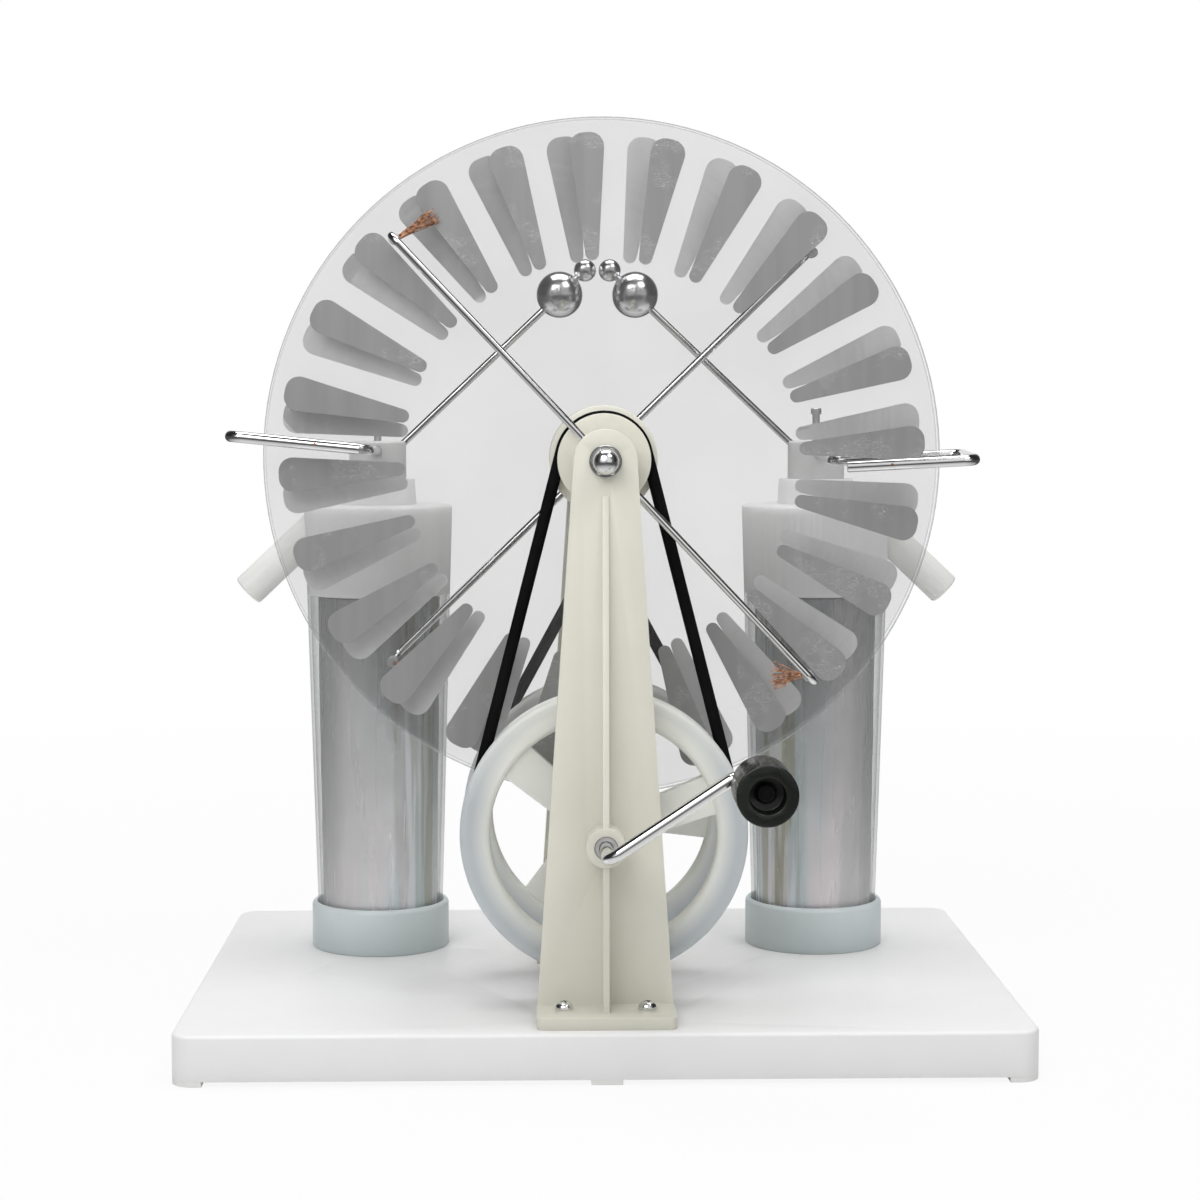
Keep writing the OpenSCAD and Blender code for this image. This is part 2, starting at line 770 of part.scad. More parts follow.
// A straight run between two points, bowed along Y with its peak at the fraction s
function bow(u, s) = u < s ? pow(sin(90 * u / s), 2) : pow(cos(90 * (u - s) / (1 - s)), 2);
function run_xz(a, b, n, off, s) =
    [for (i = [1:n - 1]) let(u = i / n) a + (b - a) * u + [0, off * bow(u, s), 0]];
open_lean = asin((wheel_pitch_r - pulley_pitch_r) / axis_span);
module open_belt() {
    top = arc_xz(spindle_z, pulley_pitch_r, open_lean, 180 - open_lean, 12);
    low = arc_xz(crank_z, wheel_pitch_r, 180 - open_lean, 360 + open_lean, 24);
    loop_tube(concat(top, run_xz(top[12], low[0], 4, 0, 0.5), low,
        run_xz(low[24], top[0], 4, 0, 0.5)), 10);
}
cross_lean = asin((wheel_pitch_r + pulley_pitch_r) / axis_span);
module crossed_belt() {
    pass = belt_d / 2 + side_gap;
    s = pulley_pitch_r / (pulley_pitch_r + wheel_pitch_r);
    top = arc_xz(spindle_z, pulley_pitch_r, -cross_lean, 180 + cross_lean, 18);
    low = arc_xz(crank_z, wheel_pitch_r, cross_lean, -180 - cross_lean, 26);
    loop_tube(concat(top, run_xz(top[18], low[0], 12, pass, s), low,
        run_xz(low[26], top[0], 12, -pass, 1 - s)), 10);
}
module front_belt() {
    color("black") front_side() open_belt();
}
module rear_belt() {
    color("black") rear_side() crossed_belt();
}

// Crank: one rod bent into shaft, arm and handle pin, with the handle turning on the pin
module crank_rod() {
    shaft_end = -bush_front - 0.5;
    color("silver") translate([0, disc_y, crank_z]) bent_rod([
        [0, shaft_end, 0],
        [0, arm_plane, 0],
        [arm_end[0], arm_plane, arm_end[1]],
        [handle_at[0], arm_plane, handle_at[1]],
        [handle_at[0], pin_end, handle_at[1]]
    ], crank_d / 2, crank_bend_r);
}
module at_handle() {
    translate([handle_at[0], disc_y, crank_z + handle_at[1]]) children();
}
module crank_handle() {
    r = handle_d / 2;
    e = 1;
    color("dimgray") at_handle() turned_y() difference() {
        polygon(concat(
            [
                [crank_d / 2 + slide_fit, handle_back - countersink],
                [crank_d / 2 + countersink / 2, handle_back], [r - e, handle_back]
            ],
            arc([r - e, handle_back - e], e, 90, 0, 4),
            arc([r - e, handle_front + e], e, 0, -90, 4),
            [[crank_d / 2 + slide_fit, handle_front]]
        ));
        translate([0, handle_front - over]) square([handle_recess_d / 2, handle_recess_l + over]);
    }
}
// The cap that holds the handle on its pin, with a round groove in its face
module handle_screw() {
    front = pin_end - pin_head_h;
    e = 0.4;
    color("dimgray") at_handle() turned_y() polygon([
        [0, front], [pin_head_r * 0.38, front], [pin_head_r * 0.38, front + 0.9],
        [pin_head_r * 0.7, front + 0.9], [pin_head_r * 0.7, front], [pin_head_r - e, front],
        [pin_head_r, front + e], [pin_head_r, pin_end], [0, pin_end]
    ]);
}

// Neutralizers: two half rods in a collar, each bent towards the disc and ending in a tinsel brush
brush_foot = disc_out + foil_t + 5.5;
ferrule_r = neutralizer_d / 2 + 0.7;
ferrule_l = 6;
module neutralizer_collar(angle) {
    in = upright_in - side_gap;
    color("burlywood") translate([0, 0, spindle_z]) difference() {
        union() {
            rod_y(-in, -in + collar_w, collar_r);
            rod_y(-in + collar_w - 0.1, -pulley_front - side_gap, spindle_d / 2 + 2.5);
        }
        rod_y(-in - over, -pulley_front, spindle_d / 2 + shaft_fit);
        for (a = [angle, angle + 180]) rotate([0, -a, 0]) translate([0, -neutralizer_plane, 0])
            rotate([0, 90, 0]) translate([0, 0, half_rod_in]) cylinder(
                h = collar_r, r = neutralizer_d / 2 + shaft_fit);
    }
}
half_rod_in = spindle_d / 2 + 1.5;
module neutralizer_rods(angle) {
    color("silver") translate([0, 0, spindle_z]) for (a = [angle, angle + 180])
        rotate([0, -a, 0]) bent_rod([
            [half_rod_in, -neutralizer_plane, 0],
            [neutralizer_r, -neutralizer_plane, 0],
            [neutralizer_r, -brush_foot - ferrule_l + 1.5, 0]
        ], neutralizer_d / 2, neutralizer_bend_r);
}
module strand(i, lean, slant) {
    fan = slant + 26 * (i / (strand_count - 1) - 0.5);
    reach = strand_l * (1 - 0.12 * (i % 3));
    drop = brush_foot - disc_out - foil_t - side_gap - 0.5;
    from = [neutralizer_r + 1.2 * (i / (strand_count - 1) - 0.5) * 2, -brush_foot - 0.5, 0];
    to = [neutralizer_r - reach * sin(fan), -brush_foot + drop * (0.75 + 0.25 * (i % 2)),
        lean * reach * cos(fan)];
    d = to - from;
    translate(from) rotate([0, acos(d[2] / norm(d)), atan2(d[1], d[0])])
        cylinder(h = norm(d), r = 0.22, $fn = 4);
}
module brushes(angle, lean, slants) {
    color("peru") translate([0, 0, spindle_z]) for (end = [0, 1])
        rotate([0, -angle - 180 * end, 0]) {
            for (i = [0:strand_count - 1]) strand(i, lean, slants[end]);
            translate([neutralizer_r, 0, 0]) difference() {
                rod_y(-brush_foot - ferrule_l, -brush_foot, ferrule_r);
                rod_y(-brush_foot - ferrule_l - over, -brush_foot - ferrule_l + 1.5,
                    neutralizer_d / 2 + shaft_fit);
            }
        }
}
module front_neutralizer_collar() {
    front_side() neutralizer_collar(front_rod_angle);
}
module front_neutralizer_rods() {
    front_side() neutralizer_rods(front_rod_angle);
}
module front_brushes() {
    front_side() brushes(front_rod_angle, -1, [front_upper_slant, front_lower_slant]);
}
module rear_neutralizer_collar() {
    rear_side() neutralizer_collar(rear_rod_angle);
}
module rear_neutralizer_rods() {
    rear_side() neutralizer_rods(rear_rod_angle);
}
module rear_brushes() {
    rear_side() brushes(rear_rod_angle, 1, [rear_upper_slant, rear_lower_slant]);
}

// Leyden jars: seat, clear outer cup, and a foil-lined inner jar standing in it
jar_screw_r = 2;
jar_screw_head_r = 4;
jar_screw_head_h = 2.4;
module jar_screw_hole() {
    translate([0, 0, -base_top - over])
        cylinder(h = base_top + 2 * over, r = jar_screw_r + hole_fit);
    translate([0, 0, -base_t - over])
        cylinder(h = jar_screw_head_h + 0.6 + over, r = jar_screw_head_r + hole_fit);
}
module jar_screws() {
    head = -base_t + 0.6;
    color("silver") for (side = [LEFT, RIGHT]) jar_side(side) {
        translate([0, 0, head]) cylinder(h = jar_screw_head_h, r = jar_screw_head_r);
        translate([0, 0, head]) cylinder(h = -head + seat_floor - 0.4, r = jar_screw_r);
    }
}
module jar_seat(side) {
    e = 2.2;
    color("azure") jar_side(side) rotate_extrude() polygon(concat(
        [[jar_screw_r + shaft_fit, 0], [seat_d / 2, 0]],
        arc([seat_d / 2 - e, seat_top - e], e, 0, 75, 5),
        [
            [cup_r(seat_top) + seat_fit, seat_top - 0.4],
            [cup_r(seat_floor) + seat_fit, seat_floor],
            [jar_screw_r + shaft_fit, seat_floor]
        ]
    ));
}
// A tapered cup between two heights, with its outer radius at each, its wall and its floor
module tapered_cup(z0, z1, r0, r1, wall, floor) {
    rotate_extrude() polygon([
        [0, z0], [r0, z0], [r1, z1], [r1 - wall, z1],
        [r0 - wall + (r1 - r0) * floor / (z1 - z0), z0 + floor], [0, z0 + floor]
    ]);
}
module outer_cup(side) {
    color("lightcyan", 0.35) jar_side(side)
        tapered_cup(cup_foot, cup_rim, cup_r(cup_foot), cup_r(cup_rim), cup_wall, cup_floor);
}
module outer_foil(side) {
    top = jar_rim - foil_drop;
    color("silver") jar_side(side) rotate_extrude() polygon([
        [foil_r(jar_foot), jar_foot], [foil_r(top), top], [jar_r(top), top], [jar_r(jar_foot), jar_foot]
    ]);
}
module inner_jar(side) {
    color("lightcyan", 0.35) jar_side(side)
        tapered_cup(jar_foot, jar_rim, jar_r(jar_foot), jar_r(jar_rim), jar_wall, jar_wall);
}
module inner_foil(side) {
    foot = jar_foot + jar_wall;
    top = jar_rim - inner_foil_drop;
    color("silver") jar_side(side)
        tapered_cup(foot, top, jar_r(foot) - jar_wall, jar_r(top) - jar_wall, foil_t, foil_t);
}

// Distance s along a discharger's axis, from the jar's axis towards the handle
module discharger_rod_at(s0, s1, r) {
    translate([0, 0, discharger_z]) rotate([0, 90 + discharger_angle, 0])
        translate([0, 0, s0]) cylinder(h = s1 - s0, r = r);
}
module collector_place(side) {
    tilt = side == LEFT ? left_tilt : right_tilt;
    rise = side == LEFT ? left_rise : right_rise;
    jar_side(side) translate([0, 0, socket_z]) rotate([-rise, -tilt, 0]) children();
}

// Jar caps: a tapered cover with a spigot, a boss on top and a side hole for the handle
module jar_cap(side) {
    foot_r = cup_mouth_d / 2;
    top_r = cap_top_d / 2;
    e = 1.5;
    in_r = jar_r(cup_rim - spigot_h) - jar_wall - seat_fit;
    wall = cap_wall + 1;
    color("white", 0.85) jar_side(side) difference() {
        rotate_extrude() polygon(concat(
            [[in_r, cup_rim - spigot_h], [in_r, cup_rim], [foot_r, cup_rim]],
            arc([top_r - e, cap_top - e], e, 0, 90, 4),
            [
                [boss_d / 2, cap_top], [boss_d / 2 - 0.5, block_foot], [0, block_foot],
                [0, cap_top - wall], [top_r - cap_wall, cap_top - wall],
                [foot_r - cap_wall, cup_rim + cap_wall], [in_r - cap_wall, cup_rim + cap_wall],
                [in_r - cap_wall, cup_rim - spigot_h]
            ]
        ));
        discharger_rod_at(-over, grip_in, discharger_d / 2 + slide_fit);
        discharger_rod_at(grip_in - over, cap_top_d, grip_d / 2 + hole_fit);
        translate([0, 0, cap_top - wall - over])
            cylinder(h = contact_top - cap_top + wall + over, r = contact_d / 2 + shaft_fit);
    }
}
module terminal_block(side) {
    color("whitesmoke") difference() {
        jar_side(side) rotate_extrude() polygon(concat(
            [[0, block_foot], [block_d / 2, block_foot]],
            arc([block_d / 2 - 1, block_foot + block_h - 1], 1, 0, 90, 4),
            [[0, block_foot + block_h]]
        ));
        jar_side(side) {
            discharger_rod_at(-block_d, block_d, discharger_d / 2 + slide_fit);
            translate([0, 0, discharger_z]) cylinder(h = block_h, r = clamp_d / 2 + shaft_fit);
        }
        collector_place(side) rod_y(-block_d, -block_d / 2 + socket_l, collector_d / 2 + shaft_fit);
    }
}
module clamp_screw(side) {
    foot = discharger_z + discharger_d / 2 / cos(discharger_angle)
        + clamp_d / 2 * tan(discharger_angle) + shaft_fit;
    top = block_foot + block_h + clamp_out;
    color("silver") jar_side(side) {
        translate([0, 0, foot]) cylinder(h = top - foot - 2, r = clamp_d / 2);
        translate([0, 0, top - 2.6]) cylinder(h = 2.2, r = clamp_d * 0.72);
        translate([0, 0, top - 0.4]) cylinder(h = 0.4, r1 = clamp_d * 0.72, r2 = clamp_d * 0.6);
    }
}
module contact_rod(side) {
    color("silver") jar_side(side) {
        translate([0, 0, contact_foot]) cylinder(h = contact_top - contact_foot, r = contact_d / 2);
        translate([0, 0, contact_foot]) cylinder(h = 3, r = contact_d * 1.6);
    }
}

// Dischargers: rod, balls and handle on one axis
module discharger_rod(side) {
    color("silver") jar_side(side) discharger_rod_at(-tip_at, grip_out - 12, discharger_d / 2);
}
module ball_on_axis(at, d) {
    translate([0, 0, discharger_z]) rotate([0, 90 + discharger_angle, 0]) translate([0, 0, -at])
        difference() {
            sphere(d = d);
            translate([0, 0, at == tip_at ? 0 : -d]) cylinder(h = 2 * d, r = discharger_d / 2 + 0.02);
        }
}
module discharger_balls(side) {
    color("silver") jar_side(side) {
        ball_on_axis(ball_at, ball_d);
        ball_on_axis(tip_at, tip_d);
    }
}
module discharger_handle(side) {
    e = 1;
    r = grip_d / 2;
    color("white") jar_side(side) difference() {
        translate([0, 0, discharger_z]) rotate([0, 90 + discharger_angle, 0])
            rotate_extrude() polygon(concat(
                [[0, grip_in], [r - e, grip_in]],
                arc([r - e, grip_in + e], e, -90, 0, 4),
                arc([r - e, grip_out - e], e, 0, 90, 4),
                [[0, grip_out]]
            ));
        discharger_rod_at(grip_in - over, grip_out - 12, discharger_d / 2 + 0.02);
    }
}

// Collectors: a rod bent round both discs' edges, with a needle on each arm
module collector(side) {
    bend_x = collector_x - jar_x;
    end_x = collector_end_x - jar_x;
    r = collector_d / 2;
    color("silver") collector_place(side) difference() {
        bent_rod([
            [0, -block_d / 2 + socket_l, 0],
            [0, arm_rear, 0],
            [bend_x, arm_rear, 0],
            [bend_x, arm_front, 0],
            [end_x, arm_front, 0]
        ], r, collector_bend_r);
        for (y = [arm_rear, arm_front]) translate([needle_x - jar_x, 0, 0])
            rod_y(y - collector_d, y + collector_d, needle_d / 2 + shaft_fit);
    }
}
// A needle through a collector's arm, with its end showing on the far side of the arm
module needle(arm, reach) {
    translate([needle_x - jar_x, arm, 0]) rotate([reach > 0 ? -90 : 90, 0, 0]) {
        translate([0, 0, -collector_d / 2 - 0.3])
            cylinder(h = collector_d / 2 + 0.3 + abs(reach) - needle_point, r = needle_d / 2);
        translate([0, 0, abs(reach) - needle_point])
            cylinder(h = needle_point, r1 = needle_d / 2, r2 = 0.1);
    }
}
module needles(side) {
    reach = collector_half - disc_out - foil_t - needle_gap;
    color("goldenrod") collector_place(side) {
        needle(arm_rear, -reach);
        needle(arm_front, reach);
    }
}

base_board();
feet();
front_upright();
rear_upright();
upright_screws();
spindle();
spindle_washers();
spindle_nuts();
front_belt();
rear_belt();
front_disc();
front_sectors();
front_pulley();
rear_disc();
rear_sectors();
rear_pulley();
crank_bushes();
crank_rod();
front_drive_wheel();
rear_drive_wheel();
wheel_set_screws();
crank_handle();
handle_screw();
front_neutralizer_collar();
front_neutralizer_rods();
front_brushes();
rear_neutralizer_collar();
rear_neutralizer_rods();
rear_brushes();
jar_screws();
jar_seat(LEFT);  // left_jar_seat
outer_cup(LEFT);  // left_outer_cup
outer_foil(LEFT);  // left_outer_foil
inner_jar(LEFT);  // left_inner_jar
inner_foil(LEFT);  // left_inner_foil
jar_cap(LEFT);  // left_jar_cap
terminal_block(LEFT);  // left_terminal_block
clamp_screw(LEFT);  // left_clamp_screw
contact_rod(LEFT);  // left_contact_rod
collector(LEFT);  // left_collector
needles(LEFT);  // left_needles
discharger_rod(LEFT);  // left_discharger_rod
discharger_balls(LEFT);  // left_discharger_balls
discharger_handle(LEFT);  // left_discharger_handle
jar_seat(RIGHT);  // right_jar_seat
outer_cup(RIGHT);  // right_outer_cup
outer_foil(RIGHT);  // right_outer_foil
inner_jar(RIGHT);  // right_inner_jar
inner_foil(RIGHT);  // right_inner_foil
jar_cap(RIGHT);  // right_jar_cap
terminal_block(RIGHT);  // right_terminal_block
clamp_screw(RIGHT);  // right_clamp_screw
contact_rod(RIGHT);  // right_contact_rod
collector(RIGHT);  // right_collector
needles(RIGHT);  // right_needles
discharger_rod(RIGHT);  // right_discharger_rod
discharger_balls(RIGHT);  // right_discharger_balls
discharger_handle(RIGHT);  // right_discharger_handle
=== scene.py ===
"""Looks of a hand-cranked electrostatic generator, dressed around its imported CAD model.

X runs across the board, Y away from the crank and Z up, all in metres. The sizes of the small
pieces are given in millimetres, and MM turns them into metres where they are used.
"""

import math
import random

import bpy
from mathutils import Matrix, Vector


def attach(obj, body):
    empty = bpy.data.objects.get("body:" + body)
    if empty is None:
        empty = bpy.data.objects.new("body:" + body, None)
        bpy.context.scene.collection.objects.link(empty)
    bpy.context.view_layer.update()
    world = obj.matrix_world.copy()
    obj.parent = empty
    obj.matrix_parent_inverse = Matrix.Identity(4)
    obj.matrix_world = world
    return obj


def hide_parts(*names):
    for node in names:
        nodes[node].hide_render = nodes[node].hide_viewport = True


MM = 0.001

FRONT = -1
REAR = 1
LEFT = -1
RIGHT = 1

# Places that the CAD model gives, in metres
DISC_PLANE_Y = -19.0 * MM
SPINDLE_Z = 234.6 * MM
CRANK_Z = 87.2 * MM
DISC_RADIUS = 135.5 * MM
BOARD_TOP = 19.5 * MM
JAR_X = 95.5 * MM
JAR_Y = 67.0 * MM
HANDLE_X = 56.5 * MM
HANDLE_Z = 115.9 * MM

# The same places in millimetres, and more sizes of the CAD model
MIDDLE_Y = DISC_PLANE_Y / MM
SPINDLE_MM = SPINDLE_Z / MM
CRANK_MM = CRANK_Z / MM
BOARD_MM = BOARD_TOP / MM
AXIS_SPAN = (SPINDLE_Z - CRANK_Z) / MM
UPRIGHT_SPAN = 51.0  # from the discs' plane to an upright's outer face
FLANGE_SCREW_X = 16.0
FLANGE_SCREW_OUT = 8.6  # beyond the upright's outer face
FLANGE_HEIGHT = 4.6
WASHER_HEIGHT = 1.4
NUT_CORNER_R = 5.774
NUT_HEIGHT = 5.0
BELT_R = 2.5
PULLEY_R = 17.0
WHEEL_R = 53.5
GROOVE_PLANE = 27.0  # from the discs' plane to the middle of the grooves
BRUSH_R = 119.3  # from the spindle to a brush
BRUSH_FOOT = 10.7  # from the discs' plane to the ferrule's end
FOIL_FACE = 5.2  # from the discs' plane to the sectors' outer face
LINER_FOOT_R = 24.55
LINER_RIM_R = 26.23
LINER_FOOT = BOARD_MM + 5.0
LINER_RIM = BOARD_MM + 153.5

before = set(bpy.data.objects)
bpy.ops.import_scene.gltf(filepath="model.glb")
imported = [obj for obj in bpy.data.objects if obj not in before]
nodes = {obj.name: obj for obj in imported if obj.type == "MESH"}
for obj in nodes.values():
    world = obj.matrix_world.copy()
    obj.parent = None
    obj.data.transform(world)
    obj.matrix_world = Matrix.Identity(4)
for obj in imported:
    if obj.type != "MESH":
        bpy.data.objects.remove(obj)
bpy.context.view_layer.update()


# Objects


def deselect():
    bpy.ops.object.select_all(action="DESELECT")


def activate(obj):
    deselect()
    obj.select_set(True)
    bpy.context.view_layer.objects.active = obj


def add_to_scene(obj):
    bpy.context.scene.collection.objects.link(obj)


def apply_modifiers(obj):
    activate(obj)
    for modifier in list(obj.modifiers):
        bpy.ops.object.modifier_apply(modifier=modifier.name)


def settle(obj):
    """Puts an object's place, turn and scale into its mesh."""
    activate(obj)
    bpy.ops.object.transform_apply(location=True, rotation=True, scale=True)


def join(pieces, name):
    deselect()
    for piece in pieces:
        piece.select_set(True)
    bpy.context.view_layer.objects.active = pieces[0]
    bpy.ops.object.join()
    joined = bpy.context.active_object
    joined.name = name
    return joined


def copied(piece, name):
    activate(piece)
    bpy.ops.object.duplicate()
    twin = bpy.context.active_object
    twin.name = name
    return twin


def put(piece, place, turn=(0, 0, 0)):
    """Moves a piece to a place in millimetres and turns it by degrees, in its mesh."""
    piece.location = [v * MM for v in place]
    piece.rotation_euler = [math.radians(v) for v in turn]
    settle(piece)


def combine(piece, tool, operation):
    """Cuts a piece with a tool, or keeps what they share, and removes the tool."""
    activate(piece)
    cut = piece.modifiers.new("cut", "BOOLEAN")
    cut.operation = operation
    cut.solver = "EXACT"
    cut.object = tool
    bpy.ops.object.modifier_apply(modifier=cut.name)
    bpy.data.objects.remove(tool, do_unlink=True)


# Angles in degrees: faces that meet at less are shaded as one smooth face
SMALL_PART_SMOOTH = 40
NUT_SMOOTH = 35
FOIL_SMOOTH = 60
CORD_SMOOTH = 80


def smooth(piece, angle):
    activate(piece)
    bpy.ops.object.shade_smooth_by_angle(angle=math.radians(angle))


def paint(piece, finish):
    piece.data.materials.clear()
    piece.data.materials.append(materials[finish])


def start_edit():
    bpy.ops.object.mode_set(mode="EDIT")
    bpy.ops.mesh.select_all(action="SELECT")


def end_edit_facing_out():
    bpy.ops.mesh.select_all(action="SELECT")
    bpy.ops.mesh.normals_make_consistent(inside=False)
    bpy.ops.object.mode_set(mode="OBJECT")


def circle(name, sides, radius, height, fill):
    """A circle around Z, with its radius and height in millimetres."""
    deselect()
    bpy.ops.mesh.primitive_circle_add(
        vertices=sides, radius=radius * MM, fill_type=fill, location=(0, 0, height * MM))
    piece = bpy.context.active_object
    piece.name = name
    settle(piece)
    return piece


def draw_up(steps):
    """Extrudes the active circle along Z, each step being a lift in metres and a growth."""
    start_edit()
    for lift, growth in steps:
        bpy.ops.mesh.extrude_region_move(TRANSFORM_OT_translate={"value": (0, 0, lift)})
        bpy.ops.transform.resize(value=(growth, growth, 1))
    end_edit_facing_out()


def turned(name, rings, sides=32):
    """A solid of round rings along Z, each given as its radius and height in millimetres."""
    piece = circle(name, sides, *rings[0], "NGON")
    draw_up([((higher - height) * MM, wider / radius)
             for (radius, height), (wider, higher) in zip(rings, rings[1:])])
    return piece


def block(size, place, turn):
    deselect()
    bpy.ops.mesh.primitive_cube_add(
        size=1.0, location=[v * MM for v in place], rotation=(0, 0, math.radians(turn)))
    piece = bpy.context.active_object
    piece.scale = [v * MM for v in size]
    settle(piece)
    return piece


def cord(name, paths, radius, resolution, closed=False):
    """Round cords along paths of points in metres, with their radius in millimetres."""
    data = bpy.data.curves.new(name, "CURVE")
    data.dimensions = "3D"
    data.bevel_depth = radius * MM
    data.bevel_resolution = resolution
    for path in paths:
        spline = data.splines.new("POLY")
        spline.points.add(len(path) - 1)
        spline.use_cyclic_u = closed
        for point, place in zip(spline.points, path):
            point.co = (*place, 1)
    made = bpy.data.objects.new(name, data)
    add_to_scene(made)
    activate(made)
    bpy.ops.object.convert(target="MESH")
    return bpy.context.active_object


# Shader nodes


WHITE = (1, 1, 1, 1)


def grey(level):
    return (level, level, level, 1)


def feed(tree, given, socket):
    """Links an output to a socket, or sets the socket's value."""
    if isinstance(given, bpy.types.NodeSocket):
        tree.links.new(given, socket)
    else:
        socket.default_value = given


def math_node(tree, operation, *values, clamp=False):
    node = tree.nodes.new("ShaderNodeMath")
    node.operation = operation
    node.use_clamp = clamp
    for value, socket in zip(values, node.inputs):
        feed(tree, value, socket)
    return node.outputs[0]


def product(tree, first, *others):
    for other in others:
        first = math_node(tree, "MULTIPLY", first, other)
    return first


def noise_node(tree, vector, scale, detail=3.0, roughness=0.55, output="Fac"):
    node = tree.nodes.new("ShaderNodeTexNoise")
    node.inputs["Detail"].default_value = detail
    node.inputs["Roughness"].default_value = roughness
    feed(tree, scale, node.inputs["Scale"])
    tree.links.new(vector, node.inputs["Vector"])
    return node.outputs[output]


def map_range(tree, value, source, result=(0.0, 1.0)):
    """The value carried from a source range to a result range, and held at its ends."""
    node = tree.nodes.new("ShaderNodeMapRange")
    for given, socket in zip((value, *source, *result), node.inputs[:5]):
        feed(tree, given, socket)
    return node.outputs[0]


def mix_colours(tree, factor, first, second, blend="MIX"):
    node = tree.nodes.new("ShaderNodeMix")
    node.data_type = "RGBA"
    node.blend_type = blend
    for label, given in (("Factor", factor), ("A", first), ("B", second)):
        feed(tree, given, node.inputs[label])
    return node.outputs["Result"]


def mix_shaders(tree, factor, first, second):
    node = tree.nodes.new("ShaderNodeMixShader")
    for given, socket in zip((factor, first, second), node.inputs):
        tree.links.new(given, socket)
    return node.outputs[0]


def ray_kinds(tree):
    return tree.nodes.new("ShaderNodeLightPath").outputs


def object_place(tree, scale=None):
    """The place on the piece in metres, stretched along its axes where a scale is given."""
    place = tree.nodes.new("ShaderNodeTexCoord").outputs["Object"]
    if scale is None:
        return place
    mapping = tree.nodes.new("ShaderNodeMapping")
    mapping.inputs["Scale"].default_value = scale
    tree.links.new(place, mapping.inputs["Vector"])
    return mapping.outputs[0]


def axes_of(tree, vector):
    node = tree.nodes.new("ShaderNodeSeparateXYZ")
    tree.links.new(vector, node.inputs[0])
    return node.outputs


def height_share(tree, heights, shares):
    """A share that goes from one value to another between two heights in metres."""
    return map_range(tree, axes_of(tree, object_place(tree))["Z"], heights, shares)


def dimmed(tree, colour, share):
    level = tree.nodes.new("ShaderNodeCombineColor")
    for label in ("Red", "Green", "Blue"):
        tree.links.new(share, level.inputs[label])
    return mix_colours(tree, 1.0, colour, level.outputs[0], "MULTIPLY")


# Studio


SENSOR_WIDTH = 36.0
FOCAL_LENGTH = 76.36
CAMERA_REACH = 20.0
CAMERA_PLACE = (-0.02564, -1.04397, 0.25628)
CAMERA_PITCH = 90 - 4.392
CAMERA_YAW = -1.383

# The walls as metal and clear plastic see them, from the camera's side to the far side
STUDIO_WALLS = (
    (0.0, (0.4, 0.4, 0.41, 1)), (0.03, grey(0.85)), (0.14, grey(0.8)), (0.23, grey(0.1)),
    (0.42, grey(0.02)), (0.84, grey(0.03)), (0.95, grey(0.25)), (1.0, WHITE))
AMBIENT = 0.46

# Each lamp's name, place, target, size in metres and power in watts
LAMPS = (
    ("left lamp", (-0.38, -0.85, 0.85), (0, 0, 0.2), (0.7, 0.6), 4.7),
    ("right lamp", (0.55, -0.55, 1.2), (0, 0, 0.2), (0.5, 0.5), 3.3),
    ("top lamp", (0, 0.3, 1.6), (0, 0.1, 0), (1.2, 0.8), 13.5))

FLOOR_SIZE = 12.0
FLOOR_MIDDLE = (0, 2.0, 0)
FLOOR_GREY = grey(0.72)
# Distances from the machine, and the floor's share of backdrop white or its glow in mirrors there
FLOOR_WHITENING = ((0.3, 1.1), (0.9, 1.0))
FLOOR_MIRRORED = ((0.2, 0.6), (0.75, 0.08))


def build_camera():
    data = bpy.data.cameras.new("camera")
    data.sensor_width = SENSOR_WIDTH
    data.lens = FOCAL_LENGTH
    data.clip_end = CAMERA_REACH
    camera = bpy.data.objects.new("camera", data)
    camera.location = CAMERA_PLACE
    camera.rotation_euler = (math.radians(CAMERA_PITCH), 0.0, math.radians(CAMERA_YAW))
    add_to_scene(camera)
    bpy.context.scene.camera = camera


def background(tree, colour, strength):
    node = tree.nodes.new("ShaderNodeBackground")
    feed(tree, colour, node.inputs["Color"])
    node.inputs["Strength"].default_value = strength
    return node.outputs[0]


def studio_walls(tree):
    direction = axes_of(tree, tree.nodes.new("ShaderNodeTexCoord").outputs["Generated"])
    walls = tree.nodes.new("ShaderNodeValToRGB")
    ramp = walls.color_ramp.elements
    for end, (position, colour) in zip(ramp, (STUDIO_WALLS[0], STUDIO_WALLS[-1])):
        end.position = position
        end.color = colour
    for position, colour in STUDIO_WALLS[1:-1]:
        ramp.new(position).color = colour
    depth = math_node(tree, "MULTIPLY_ADD", direction["Y"], 0.5, 0.5)
    tree.links.new(depth, walls.inputs["Fac"])
    return walls.outputs["Color"]


def build_world():
    """A white backdrop to the camera, and a studio with dark walls to metal and clear plastic."""
    world = bpy.data.worlds.new("studio")
    bpy.context.scene.world = world
    world.use_nodes = True
    tree = world.node_tree
    tree.nodes.clear()
    rays = ray_kinds(tree)
    ambient = background(tree, WHITE, AMBIENT)
    studio = background(tree, studio_walls(tree), 1.0)
    backdrop = background(tree, WHITE, 1.0)
    surroundings = mix_shaders(tree, rays["Is Glossy Ray"], ambient, studio)
    seen = math_node(tree, "MAXIMUM", rays["Is Camera Ray"], rays["Is Transmission Ray"])
    view = mix_shaders(tree, seen, surroundings, backdrop)
    out = tree.nodes.new("ShaderNodeOutputWorld")
    tree.links.new(view, out.inputs["Surface"])


